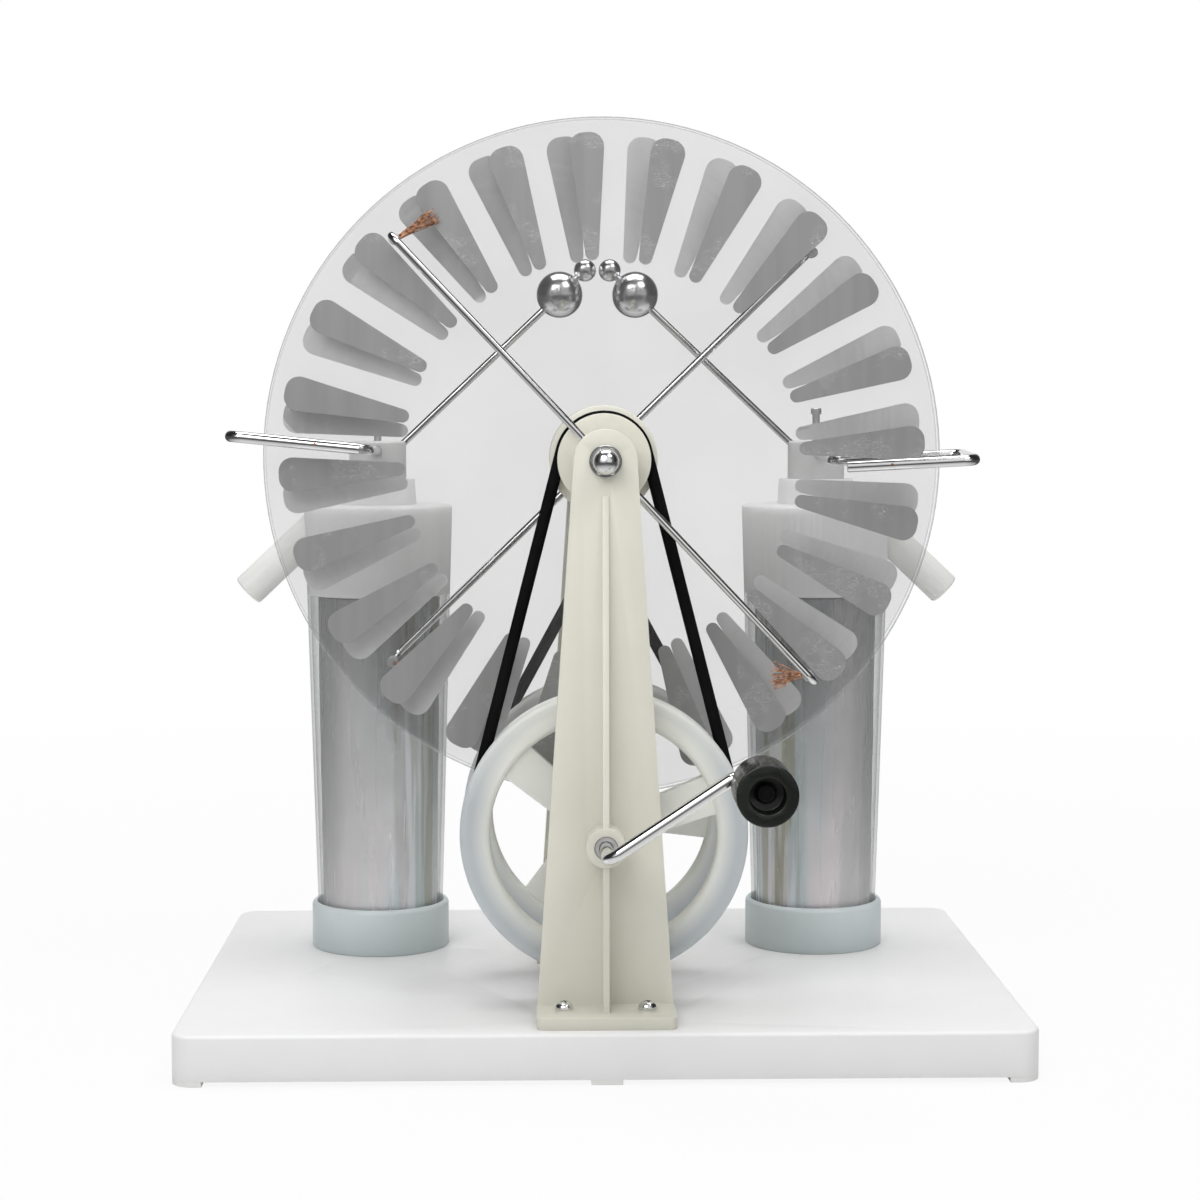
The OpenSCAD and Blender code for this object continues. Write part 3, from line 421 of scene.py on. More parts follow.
def build_lamp(name, place, target, size, power):
    data = bpy.data.lights.new(name, "AREA")
    data.shape = "RECTANGLE"
    data.size, data.size_y = size
    data.energy = power
    lamp = bpy.data.objects.new(name, data)
    lamp.location = place
    lamp.rotation_euler = (Vector(target) - Vector(place)).to_track_quat("-Z", "Y").to_euler()
    add_to_scene(lamp)


def build_floor():
    """A floor that takes the machine's shadow, and fades into the white backdrop."""
    bpy.ops.mesh.primitive_plane_add(size=FLOOR_SIZE, location=FLOOR_MIDDLE)
    floor = bpy.context.active_object
    floor.name = "floor"
    settle(floor)
    mat = bpy.data.materials.new("pale_floor")
    mat.use_nodes = True
    tree = mat.node_tree
    tree.nodes.clear()
    lit = tree.nodes.new("ShaderNodeBsdfDiffuse")
    lit.inputs["Color"].default_value = FLOOR_GREY
    white = tree.nodes.new("ShaderNodeEmission")
    reach = tree.nodes.new("ShaderNodeVectorMath")
    reach.operation = "LENGTH"
    tree.links.new(object_place(tree), reach.inputs[0])
    rays = ray_kinds(tree)
    gloss = rays["Is Glossy Ray"]
    seen = math_node(tree, "MAXIMUM", rays["Is Camera Ray"], rays["Is Transmission Ray"])
    level = map_range(tree, reach.outputs["Value"], *FLOOR_WHITENING)
    mirrored = map_range(tree, reach.outputs["Value"], *FLOOR_MIRRORED)
    dimming = product(tree, gloss, math_node(tree, "SUBTRACT", 1.0, mirrored))
    tree.links.new(math_node(tree, "SUBTRACT", 1.0, dimming), white.inputs["Strength"])
    share = math_node(tree, "MAXIMUM", product(tree, seen, level), gloss)
    surface = mix_shaders(tree, share, lit.outputs[0], white.outputs[0])
    out = tree.nodes.new("ShaderNodeOutputMaterial")
    tree.links.new(surface, out.inputs["Surface"])
    floor.data.materials.append(mat)


# Shared surface effects


COLOUR = "NodeSocketColor"
VALUE = "NodeSocketFloat"
SURFACE = (("Colour", COLOUR), ("Roughness", VALUE), ("Height", VALUE))
SHARP_BORDER = 0.0006  # width in metres of a mask's crisp border


def start_group(name, inputs, outputs):
    """A node group with its inner ends: what it is given, and the sockets of its results."""
    group = bpy.data.node_groups.new(name, "ShaderNodeTree")
    for label, kind, value in inputs:
        socket = group.interface.new_socket(name=label, in_out="INPUT", socket_type=kind)
        socket.default_value = value
    for label, kind in outputs:
        group.interface.new_socket(name=label, in_out="OUTPUT", socket_type=kind)
    given = group.nodes.new("NodeGroupInput").outputs
    return group, given, group.nodes.new("NodeGroupOutput").inputs


def give_results(group, sockets, **results):
    for label, value in results.items():
        group.links.new(value, sockets[label])
    return group


def moulded_surface():
    """Plastic from a mould: a faint mottle, a fine grain and a shine that varies a little."""
    group, given, sockets = start_group(
        "moulded surface",
        (("Colour", COLOUR, grey(0.8)), ("Shade", COLOUR, grey(0.7)), ("Mottle", VALUE, 0.3),
         ("Roughness", VALUE, 0.35), ("Grain scale", VALUE, 2500.0)),
        SURFACE)
    place = object_place(group)
    patch = map_range(group, noise_node(group, place, scale=38.0), (0.35, 0.7))
    amount = product(group, patch, given["Mottle"])
    colour = mix_colours(group, amount, given["Colour"], given["Shade"])
    grain = noise_node(group, place, given["Grain scale"], detail=2.0)
    smear = noise_node(group, place, scale=120.0, detail=4.0)
    shine = map_range(group, smear, (0.3, 0.7), (-0.05, 0.07))
    rough = math_node(group, "ADD", given["Roughness"], shine)
    return give_results(group, sockets, Colour=colour, Roughness=rough, Height=grain)


def drawn_metal():
    """Plated rod and turned metal: tiny pits, handling marks and a few duller patches."""
    group, given, sockets = start_group(
        "drawn metal",
        (("Colour", COLOUR, grey(0.8)), ("Tarnish", COLOUR, (0.5, 0.48, 0.45, 1)),
         ("Wear", VALUE, 0.2), ("Roughness", VALUE, 0.1)),
        SURFACE)
    place = object_place(group)
    patch = map_range(group, noise_node(group, place, scale=90.0, detail=5.0), (0.5, 0.75))
    amount = product(group, patch, given["Wear"])
    colour = mix_colours(group, amount, given["Colour"], given["Tarnish"])
    pits = noise_node(group, place, scale=1600.0)
    smudge = map_range(group, noise_node(group, place, scale=260.0), (0.35, 0.7), (0.0, 0.12))
    rough = math_node(group, "ADD", given["Roughness"], product(group, smudge, given["Wear"]))
    return give_results(group, sockets, Colour=colour, Roughness=rough, Height=pits)


def foil_surface():
    """Laid foil: long soft streaks along Z, sharp creases and fine scratches."""
    group, given, sockets = start_group(
        "foil surface",
        (("Colour", COLOUR, grey(0.6)), ("Shade", COLOUR, grey(0.4)), ("Streak", VALUE, 0.5),
         ("Roughness", VALUE, 0.3), ("Scratches", VALUE, 0.2)),
        SURFACE)
    plain = object_place(group)
    along = object_place(group, (1, 1, 0.06))
    across = object_place(group, (1, 1, 3.2))
    streak = map_range(group, noise_node(group, along, scale=110.0), (0.35, 0.68))
    amount = product(group, streak, given["Streak"])
    shaded = mix_colours(group, amount, given["Colour"], given["Shade"])
    bend = noise_node(group, across, scale=60.0, detail=2.0, roughness=0.5, output="Color")
    lines = group.nodes.new("ShaderNodeTexVoronoi")
    lines.feature = "DISTANCE_TO_EDGE"
    lines.inputs["Scale"].default_value = 150.0
    group.links.new(mix_colours(group, 0.12, across, bend), lines.inputs["Vector"])
    thin = map_range(group, lines.outputs["Distance"], (0.0, 0.02), (1.0, 0.0))
    where = map_range(group, noise_node(group, plain, scale=60.0, detail=2.0), (0.53, 0.6))
    mark = product(group, thin, where, given["Scratches"])
    colour = mix_colours(group, mark, shaded, grey(0.9))
    crease = noise_node(group, plain, scale=55.0, detail=6.0, roughness=0.62)
    waves = noise_node(group, along, scale=70.0, detail=2.0)
    folded = math_node(group, "ADD", product(group, crease, 0.35), waves)
    height = math_node(group, "ADD", folded, product(group, mark, 0.2))
    rough = math_node(group, "ADD", given["Roughness"], product(group, streak, 0.08))
    return give_results(group, sockets, Colour=colour, Roughness=rough, Height=height)


def rim_mask():
    """A mask around an axis along Y: 0 near it, and 1 beyond a radius."""
    group, given, sockets = start_group(
        "rim mask",
        (("Across", VALUE, 0.0), ("Height", VALUE, SPINDLE_Z), ("Radius", VALUE, DISC_RADIUS),
         ("Width", VALUE, SHARP_BORDER)),
        (("Mask", VALUE),))
    axes = axes_of(group, object_place(group))
    lift = math_node(group, "SUBTRACT", axes["Z"], given["Height"])
    aside = math_node(group, "SUBTRACT", axes["X"], given["Across"])
    square = math_node(group, "ADD", product(group, aside, aside), product(group, lift, lift))
    start = math_node(group, "SUBTRACT", given["Radius"], given["Width"])
    mask = map_range(group, math_node(group, "SQRT", square), (start, given["Radius"]))
    return give_results(group, sockets, Mask=mask)


def build_groups():
    return {"moulded": moulded_surface(), "metal": drawn_metal(), "foil": foil_surface(),
            "rim": rim_mask()}


# Materials


SUBSURFACE_RADIUS = (1.0, 1.0, 0.95)
ACRYLIC_IOR = 1.49
# Radius of the painted shade in the crank handle's hollow
GRIP_PAINTED_SHADE_R = 0.0064
WHEEL_RIM_R = 0.0525
WHEEL_RIM_BORDER = 0.008
# Painted light on the wheel's rim: two heights in metres, and the share of the warmer arm colour
# at them
WHEEL_PAINTED_TOP_LIGHT = ((CRANK_Z + 0.012, CRANK_Z + 0.05), (0.0, 0.9))
DISC_FACE, DISC_RIM = (0.2, 0.2, 0.202, 1), (0.42, 0.43, 0.44, 1)
DISC_HAZE = (0.078, 0.098)
CUP_FACE, CUP_CLOUD = (0.74, 0.76, 0.77, 1), (0.82, 0.84, 0.84, 1)
CUP_EDGE = (0.3, 0.32, 0.33, 1)
CUP_HAZE = (0.05, 0.1)
CUP_EDGE_DENSITY = 0.5
# Painted shade and painted glints of the copper tinsel
COPPER_PAINTED_SHADE, COPPER_PAINTED_GLINT = (0.22, 0.085, 0.045, 1), (0.8, 0.45, 0.27, 1)
# Painted light: what makes the wheel's arms lighter and warmer than its rim
WHEEL_ARM_PAINTED_LIGHT = (1.62, 1.53, 1.38, 1)
# Painted reflections in the jar foil
FOIL_PAINTED_BLUE_REFLECTION, FOIL_PAINTED_ROSE_REFLECTION = (0.48, 0.61, 0.65, 1), (0.8, 0.71, 0.73, 1)
FOIL_PAINTED_OLIVE_REFLECTION, FOIL_PAINTED_PALE_REFLECTION = (0.34, 0.34, 0.25, 1), (0.84, 0.88, 0.93, 1)
HIDDEN_SHARE = 0.92  # what shadows and soft light lose of a clear piece's haze

# Depth of the effects' relief in metres
RELIEF = {"moulded": 0.0002, "metal": 0.0001, "foil": 0.0002}
JAR_FOIL_RELIEF = 0.0012

# Finishes that come from one shared effect. Each painted light fade (shade low, light high) and
# painted glow gives two heights in metres, and the colour's share or the glow's strength at them.
FINISHES = {
    "white_laminate": dict(
        name="white laminate", effect="moulded", bump=0.12, sockets={"Specular IOR Level": 0.35},
        Colour=grey(0.83), Shade=grey(0.79), Mottle=0.35, Roughness=0.42, Grain_scale=900.0),
    "foot_rubber": dict(
        name="foot rubber", effect="moulded", bump=0.3,
        Colour=(0.82, 0.82, 0.81, 1), Shade=(0.75, 0.75, 0.74, 1),
        Mottle=0.5, Roughness=0.6, Grain_scale=1800.0),
    # Painted light: the cream parts darker low down and lighter towards the top, as light falls
    # from above
    "cream": dict(
        name="cream moulding", effect="moulded", bump=0.06,
        sockets={"Subsurface Weight": 0.12, "Subsurface Scale": 0.004},
        fade=((0.03, 0.25), (0.91, 1.07)),
        Colour=(0.72, 0.708, 0.62, 1), Shade=(0.67, 0.66, 0.565, 1),
        Mottle=0.5, Roughness=0.36, Grain_scale=2200.0),
    # Painted shade: the seats darker towards their foot on the board
    "milky": dict(
        name="milky moulding", effect="moulded", bump=0.05,
        sockets={"Subsurface Weight": 0.2, "Subsurface Scale": 0.005},
        fade=((0.0195, 0.036), (0.84, 1.0)),
        Colour=(0.63, 0.69, 0.695, 1), Shade=(0.55, 0.62, 0.635, 1),
        Mottle=0.5, Roughness=0.34, Grain_scale=2000.0),
    "cap": dict(  # painted glow and painted light higher up, and painted shade near its skirt
        name="milky cap with painted glow", effect="moulded", bump=0.05,
        sockets={"Subsurface Weight": 0.5, "Subsurface Scale": 0.02, "Emission Color": WHITE},
        fade=((0.168, 0.212), (0.9, 1.04)), glow=((0.17, 0.208), (0.0, 0.085)),
        Colour=grey(0.86), Shade=grey(0.8), Mottle=0.4, Roughness=0.38, Grain_scale=1900.0),
    "block": dict(
        name="milky block", effect="moulded", bump=0.05,
        sockets={"Subsurface Weight": 0.3, "Subsurface Scale": 0.01},
        Colour=grey(0.76), Shade=grey(0.7), Mottle=0.4, Roughness=0.38, Grain_scale=1900.0),
    "white_grip": dict(
        name="white grip", effect="moulded", bump=0.08,
        sockets={"Subsurface Weight": 0.15, "Subsurface Scale": 0.004},
        Colour=(0.86, 0.86, 0.84, 1), Shade=(0.78, 0.785, 0.755, 1),
        Mottle=0.5, Roughness=0.4, Grain_scale=1500.0),
    "belt": dict(
        name="belt rubber", effect="moulded", bump=0.3, sockets={"Specular IOR Level": 0.05},
        Colour=(0.004, 0.004, 0.0045, 1), Shade=(0.009, 0.009, 0.01, 1),
        Mottle=0.7, Roughness=0.7, Grain_scale=1500.0),
    "black_screw": dict(
        name="black screw", effect="metal", bump=0.1, sockets={"Metallic": 0.8},
        Colour=(0.035, 0.035, 0.033, 1), Tarnish=grey(0.012), Wear=0.6, Roughness=0.1),
    "post": dict(
        name="dull plated post", effect="metal", bump=0.06, sockets={"Metallic": 0.6},
        Colour=grey(0.6), Tarnish=grey(0.4), Wear=0.5, Roughness=0.35),
    "bright_rod": dict(
        name="bright rod", effect="metal", bump=0.05, sockets={"Metallic": 1.0},
        Colour=grey(0.85), Tarnish=(0.6, 0.59, 0.58, 1), Wear=0.3, Roughness=0.045),
    "polished_ball": dict(
        name="polished ball", effect="metal", bump=0.03, sockets={"Metallic": 1.0},
        Colour=(0.82, 0.82, 0.825, 1), Tarnish=grey(0.6), Wear=0.3, Roughness=0.19),
    "dulled_steel": dict(
        name="dulled steel", effect="metal", bump=0.06, sockets={"Metallic": 1.0},
        Colour=grey(0.42), Tarnish=grey(0.2), Wear=0.6, Roughness=0.22),
    "dark_steel": dict(
        name="dark steel", effect="metal", bump=0.15, sockets={"Metallic": 1.0},
        Colour=grey(0.06), Tarnish=grey(0.03), Wear=0.8, Roughness=0.4),
    "needle": dict(
        name="tarnished needle", effect="metal", bump=0.1, sockets={"Metallic": 0.8},
        Colour=(0.42, 0.22, 0.13, 1), Tarnish=(0.15, 0.09, 0.06, 1), Wear=0.9, Roughness=0.3),
    "front_sector_foil": dict(
        name="front sector foil", effect="foil", bump=0.16, sockets={"Metallic": 0.35},
        Colour=grey(0.335), Shade=(0.27, 0.27, 0.272, 1),
        Streak=0.6, Roughness=0.46, Scratches=1.0),
    # Painted light: the same foil as the front sectors, painted much lighter to make up for the
    # shade cast by the front disc
    "rear_sector_foil_painted_lighter": dict(
        name="rear sector foil painted lighter", effect="foil", bump=0.1, sockets={"Metallic": 0.2},
        Colour=grey(0.74), Shade=grey(0.62), Streak=0.6, Roughness=0.55, Scratches=0.8),
}


def new_material(name, sockets):
    """A material, its node tree and its shader, with the shader's sockets set."""
    mat = bpy.data.materials.new(name)
    mat.use_nodes = True
    shader = mat.node_tree.nodes["Principled BSDF"]
    shader.inputs["Subsurface Radius"].default_value = SUBSURFACE_RADIUS
    for label, value in sockets.items():
        shader.inputs[label].default_value = value
    return mat, mat.node_tree, shader


def place_group(tree, name, **values):
    """The results of a shared effect, with its own values set."""
    node = tree.nodes.new("ShaderNodeGroup")
    node.node_tree = groups[name]
    for label, value in values.items():
        node.inputs[label.replace("_", " ")].default_value = value
    return node.outputs


def link_surface(tree, shader, effect, colour, bump, relief):
    """Gives the shader a colour, and the roughness and relief of a shared effect."""
    tree.links.new(colour, shader.inputs["Base Color"])
    tree.links.new(effect["Roughness"], shader.inputs["Roughness"])
    node = tree.nodes.new("ShaderNodeBump")
    node.inputs["Strength"].default_value = bump
    node.inputs["Distance"].default_value = relief
    tree.links.new(effect["Height"], node.inputs["Height"])
    tree.links.new(node.outputs["Normal"], shader.inputs["Normal"])


def surface_material(name, effect, bump, sockets=None, fade=None, glow=None, **values):
    """A material whose colour, roughness and relief come from one of the shared effects."""
    mat, tree, shader = new_material(name, sockets or {})
    surface = place_group(tree, effect, **values)
    colour = surface["Colour"]
    # Painted light and shade: the colour made darker low down and lighter higher up
    if fade:
        colour = dimmed(tree, colour, height_share(tree, *fade))
    # Painted glow: emission that makes the part look lit, though it is no lamp
    if glow:
        tree.links.new(height_share(tree, *glow), shader.inputs["Emission Strength"])
    link_surface(tree, shader, surface, colour, bump, RELIEF[effect])
    return mat


def let_light_through(tree, shader, alpha):
    """Clear plastic keeps its haze to the eye, and casts only a faint shadow."""
    rays = ray_kinds(tree)
    inner = math_node(tree, "MAXIMUM", rays["Is Shadow Ray"], rays["Is Diffuse Ray"])
    share = math_node(tree, "SUBTRACT", 1.0, product(tree, inner, HIDDEN_SHARE))
    tree.links.new(product(tree, alpha, share), shader.inputs["Alpha"])


def clear_disc_material(name, rim_level):
    """Clear acrylic with a slight haze on its faces, and a rim that shows more."""
    mat, tree, shader = new_material(name, {"Roughness": 0.06, "IOR": ACRYLIC_IOR})
    rim = place_group(tree, "rim")["Mask"]
    colour = mix_colours(tree, rim, DISC_FACE, DISC_RIM)
    tree.links.new(colour, shader.inputs["Base Color"])
    haze = noise_node(tree, object_place(tree), scale=20.0)
    face = map_range(tree, haze, (0.3, 0.7), DISC_HAZE)
    alpha = math_node(tree, "MAXIMUM", face, product(tree, rim, rim_level))
    let_light_through(tree, shader, alpha)
    return mat


def clear_cup_material():
    """Clear plastic that darkens and thickens to the eye where it turns away."""
    mat, tree, shader = new_material("clear cup", {"Roughness": 0.08, "IOR": ACRYLIC_IOR})
    place = object_place(tree)
    edge = tree.nodes.new("ShaderNodeLayerWeight")
    edge.inputs["Blend"].default_value = 0.35
    turned_away = edge.outputs["Facing"]
    cloud = noise_node(tree, place, scale=30.0)
    face = mix_colours(tree, cloud, CUP_FACE, CUP_CLOUD)
    colour = mix_colours(tree, turned_away, face, CUP_EDGE)
    tree.links.new(colour, shader.inputs["Base Color"])
    haze = map_range(tree, noise_node(tree, place, scale=14.0), (0.3, 0.7), CUP_HAZE)
    alpha = math_node(tree, "MAXIMUM", haze, product(tree, turned_away, CUP_EDGE_DENSITY))
    let_light_through(tree, shader, alpha)
    return mat


def jar_foil_material():
    """Foil pressed into a jar with upright folds, and painted reflections: rosy outside, blue in
    the middle, striped inside.
    """
    mat, tree, shader = new_material("jar foil with painted reflections", {"Metallic": 0.45})
    foil = place_group(tree, "foil", Colour=(0.66, 0.64, 0.64, 1), Shade=(0.53, 0.535, 0.54, 1),
                       Streak=0.9, Roughness=0.24, Scratches=0.9)
    axes = axes_of(tree, object_place(tree))
    inwards = math_node(tree, "SUBTRACT", JAR_X, math_node(tree, "ABSOLUTE", axes["X"]))
    foot = map_range(tree, axes["Z"], (0.03, 0.115), (1.0, 0.0))
    folds = object_place(tree, (1, 1, 0.04))
    painted_reflection_patches = noise_node(tree, folds, scale=75.0, detail=2.0)
    painted_reflection_stripes = noise_node(tree, folds, scale=190.0, detail=2.0)
    # Painted reflections: bluish from the middle inwards, and rosy at the foot
    painted_cool_light = product(tree, map_range(tree, inwards, (-0.008, 0.004), (0.0, 0.85)),
                   map_range(tree, foot, (0.0, 1.0), (0.45, 1.0)),
                   map_range(tree, painted_reflection_patches, (0.4, 0.55), (0.5, 1.0)))
    colour = mix_colours(tree, painted_cool_light, foil["Colour"], FOIL_PAINTED_BLUE_REFLECTION)
    painted_rose_reflection = product(tree, foot, 0.75, map_range(tree, painted_reflection_patches, (0.5, 0.42), (0.1, 1.0)))
    colour = mix_colours(tree, painted_rose_reflection, colour, FOIL_PAINTED_ROSE_REFLECTION)
    # Painted reflections: olive and pale stripes on the inner side
    painted_stripe_zone = map_range(tree, inwards, (0.005, 0.012))
    painted_olive_reflection = product(tree, painted_stripe_zone, map_range(tree, painted_reflection_stripes, (0.52, 0.58), (0.0, 0.8)))
    colour = mix_colours(tree, painted_olive_reflection, colour, FOIL_PAINTED_OLIVE_REFLECTION)
    painted_pale_light = product(tree, painted_stripe_zone, map_range(tree, painted_reflection_stripes, (0.45, 0.39), (0.0, 0.85)))
    colour = mix_colours(tree, painted_pale_light, colour, FOIL_PAINTED_PALE_REFLECTION)
    # Painted light and shade: lighter low down and on the inner side, darker up under the cap and
    # along the outer limb
    height = map_range(tree, axes["Z"], (0.05, 0.16), (1.05, 0.93))
    painted_shade_limb_mask = map_range(tree, inwards, (-0.0235, -0.013))
    painted_limb_shade_floor = map_range(tree, foot, (0.0, 0.8), (0.42, 0.78))
    painted_limb_shade = map_range(tree, painted_shade_limb_mask, (0.0, 1.0), (painted_limb_shade_floor, 1.0))
    inner = map_range(tree, inwards, (0.002, 0.019), (1.0, 1.12))
    colour = dimmed(tree, colour, product(tree, height, painted_limb_shade, inner))
    link_surface(tree, shader, foil, colour, 0.45, JAR_FOIL_RELIEF)
    return mat


def dark_grip_material():
    """Dark greenish handle with worn, shiny sides, and painted shade that keeps its hollow black.
    """
    mat, tree, shader = new_material("dark grip with painted shade", {"Specular IOR Level": 0.4})
    grip = place_group(tree, "moulded", Colour=(0.008, 0.0095, 0.0075, 1),
                       Shade=(0.024, 0.028, 0.022, 1), Mottle=0.9, Roughness=0.26,
                       Grain_scale=1400.0)
    outside_painted_shade = place_group(
        tree, "rim", Across=HANDLE_X, Height=HANDLE_Z, Radius=GRIP_PAINTED_SHADE_R,
        Width=SHARP_BORDER)["Mask"]
    # Painted shade: near black inside the hollow's radius
    colour = mix_colours(tree, outside_painted_shade, grey(0.003), grip["Colour"])
    link_surface(tree, shader, grip, colour, 0.25, RELIEF["moulded"])
    return mat


def tinsel_material():
    """Fine copper threads whose tone varies along their length, with painted glints and painted
    dark gaps.
    """
    mat, tree, shader = new_material("copper tinsel with painted glints", {"Metallic": 0.5, "Roughness": 0.35})
    threads = noise_node(tree, object_place(tree), scale=900.0, detail=2.0)
    # Painted light: bright glints and dark gaps along the threads
    painted_glint = map_range(tree, threads, (0.4, 0.6))
    colour = mix_colours(tree, painted_glint, COPPER_PAINTED_SHADE, COPPER_PAINTED_GLINT)
    tree.links.new(colour, shader.inputs["Base Color"])
    return mat


def wheel_material():
    """Milky moulding with painted light: the thin arms and the rim's top painted lighter and
    warmer, the rest of the rim left cooler as painted shade.
    """
    mat, tree, shader = new_material(
        "wheel moulding with painted light", {"Subsurface Weight": 0.3, "Subsurface Scale": 0.006})
    wheel = place_group(tree, "moulded", Colour=(0.515, 0.55, 0.575, 1),
                        Shade=(0.475, 0.505, 0.52, 1), Mottle=0.5, Roughness=0.36,
                        Grain_scale=2000.0)
    rim = place_group(
        tree, "rim", Height=CRANK_Z, Radius=WHEEL_RIM_R, Width=WHEEL_RIM_BORDER)["Mask"]
    # Painted light: arms and the rim's top lighter and warmer, the rest of the rim cooler as
    # painted shade
    painted_pale_light = mix_colours(tree, 1.0, wheel["Colour"], WHEEL_ARM_PAINTED_LIGHT, "MULTIPLY")
    painted_top_light = height_share(tree, *WHEEL_PAINTED_TOP_LIGHT)
    painted_cool_light = math_node(tree, "SUBTRACT", rim, painted_top_light, clamp=True)
    colour = mix_colours(tree, painted_cool_light, painted_pale_light, wheel["Colour"])
    link_surface(tree, shader, wheel, colour, 0.05, RELIEF["moulded"])
    return mat


def build_materials():
    made = {finish: surface_material(**values) for finish, values in FINISHES.items()}
    made["wheel"] = wheel_material()
    made["dark_grip"] = dark_grip_material()
    made["copper"] = tinsel_material()
    made["jar_foil_with_painted_reflections"] = jar_foil_material()
    made["front_clear"] = clear_disc_material("front clear disc", 0.6)
    made["rear_clear"] = clear_disc_material("rear clear disc", 0.3)
    made["clear_cup"] = clear_cup_material()
    return made


NODE_FINISH = {
    "base_board": "white_laminate", "feet": "foot_rubber",
    "front_upright": "cream", "rear_upright": "cream",
    "front_pulley": "cream", "rear_pulley": "cream",
    "upright_screws": "bright_rod", "spindle": "bright_rod",
    "spindle_washers": "dulled_steel", "spindle_nuts": "polished_ball",
    "front_belt": "belt", "rear_belt": "belt",
    "front_disc": "front_clear", "rear_disc": "rear_clear",
    "front_sectors": "front_sector_foil", "rear_sectors": "rear_sector_foil_painted_lighter",
    "crank_rod": "bright_rod", "crank_bushes": "post",
    "front_drive_wheel": "wheel", "rear_drive_wheel": "wheel",
    "wheel_set_screws": "dark_steel", "crank_handle": "dark_grip", "handle_screw": "black_screw",
    "front_neutralizer_collar": "cream", "rear_neutralizer_collar": "cream",
    "front_neutralizer_rods": "bright_rod", "rear_neutralizer_rods": "bright_rod",
    "front_brushes": "copper", "rear_brushes": "copper", "jar_screws": "bright_rod",
}
SIDE_FINISH = {
    "jar_seat": "milky", "outer_cup": "clear_cup", "outer_foil": "jar_foil_with_painted_reflections",
    "inner_jar": "clear_cup", "inner_foil": "jar_foil_with_painted_reflections", "jar_cap": "cap",
    "terminal_block": "block", "clamp_screw": "post", "contact_rod": "bright_rod",
    "collector": "bright_rod", "needles": "needle", "discharger_rod": "bright_rod",
    "discharger_balls": "polished_ball", "discharger_handle": "white_grip",
}


def finish_nodes():
    """Gives every CAD node its material; those that a new piece stands for are hidden anyway."""
    finishes = dict(NODE_FINISH)
    for side in ("left", "right"):
        for node, finish in SIDE_FINISH.items():
            finishes[side + "_" + node] = finish
    for node, finish in finishes.items():
        for slot in nodes[node].material_slots:
            slot.material = materials[finish]


# Screws, nuts and washers, with their profiles as radius and height


FACING = {FRONT: (90, 0, 0), REAR: (-90, 0, 0)}

SCREW_HEAD = [
    (3.3, 0), (3.5, 0.25), (3.55, 0.8), (3.4, 1.5), (3.0, 2.15), (2.4, 2.65), (1.6, 3.0),
    (0.7, 3.15), (0.2, 3.18)]
SCREW_CROSS_SIZE = (3.4, 0.8, 2.4)
SCREW_CROSS_PLACE = (0, 0, 3.2)
NUT_CHAMFER = [(5.2, -0.1), (5.6, 0.35), (6.2, 1.4), (6.2, 3.3), (5.15, 5.1)]
NUT_DOME = [
    (4.85, 3.6), (4.95, 4.4), (4.95, 5.2), (4.8, 6.2), (4.4, 7.2), (3.75, 8.1), (2.95, 8.8),
    (2.0, 9.3), (1.0, 9.62), (0.2, 9.7)]
WASHER = [(5.95, 0), (6.25, 0.2), (6.25, 1.1), (6.0, 1.38), (5.2, WASHER_HEIGHT)]
FERRULE = [(2.0, 0), (2.2, 0.25), (2.2, 2.2), (1.95, 2.5), (2.2, 2.8), (2.2, 5.2), (1.9, 6.0)]
FERRULE_LENGTH = 6.0
FINE_SIDES = 48
FERRULE_SIDES = 20


def build_flange_screws():
    head = turned("flange_screw", SCREW_HEAD)
    for turn in (20, 110):
        combine(head, block(SCREW_CROSS_SIZE, SCREW_CROSS_PLACE, turn), "DIFFERENCE")
    heads = []
    for side in (FRONT, REAR):
        for x in (-FLANGE_SCREW_X, FLANGE_SCREW_X):
            twin = copied(head, "flange_screw_head")
            y = MIDDLE_Y + side * (UPRIGHT_SPAN + FLANGE_SCREW_OUT)
            put(twin, (x, y, BOARD_MM + FLANGE_HEIGHT))
            heads.append(twin)
    bpy.data.objects.remove(head, do_unlink=True)
    screws = join(heads, "flange_screw_heads")
    smooth(screws, SMALL_PART_SMOOTH)
    paint(screws, "polished_ball")
    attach(screws, "stand")
    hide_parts("upright_screws")


def build_cap_nuts():
    nuts = []
    for side in (FRONT, REAR):
        deselect()
        bpy.ops.mesh.primitive_cylinder_add(
            vertices=6, radius=NUT_CORNER_R * MM, depth=NUT_HEIGHT * MM,
            location=(0, 0, NUT_HEIGHT / 2 * MM))
        hexagon = bpy.context.active_object
        hexagon.rotation_euler = (0, 0, math.radians(30))
        settle(hexagon)
        combine(hexagon, turned("chamfer", NUT_CHAMFER, FINE_SIDES), "INTERSECT")
        nut = join([hexagon, turned("dome", NUT_DOME, FINE_SIDES)], "cap_nut")
        y = MIDDLE_Y + side * (UPRIGHT_SPAN + WASHER_HEIGHT)
        put(nut, (0, y, SPINDLE_MM), FACING[side])
        nuts.append(nut)
    pair = join(nuts, "spindle_cap_nuts")
    smooth(pair, NUT_SMOOTH)
    paint(pair, "polished_ball")
    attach(pair, "stand")
    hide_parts("spindle_nuts")


def build_washers():
    washers = []
    for side in (FRONT, REAR):
        washer = turned("washer", WASHER, FINE_SIDES)
        put(washer, (0, MIDDLE_Y + side * UPRIGHT_SPAN, SPINDLE_MM), FACING[side])
        washers.append(washer)
    pair = join(washers, "spindle_washer_pair")
    smooth(pair, SMALL_PART_SMOOTH)
    paint(pair, "dulled_steel")
    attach(pair, "stand")
    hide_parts("spindle_washers")


# Mouldings with rounded edges


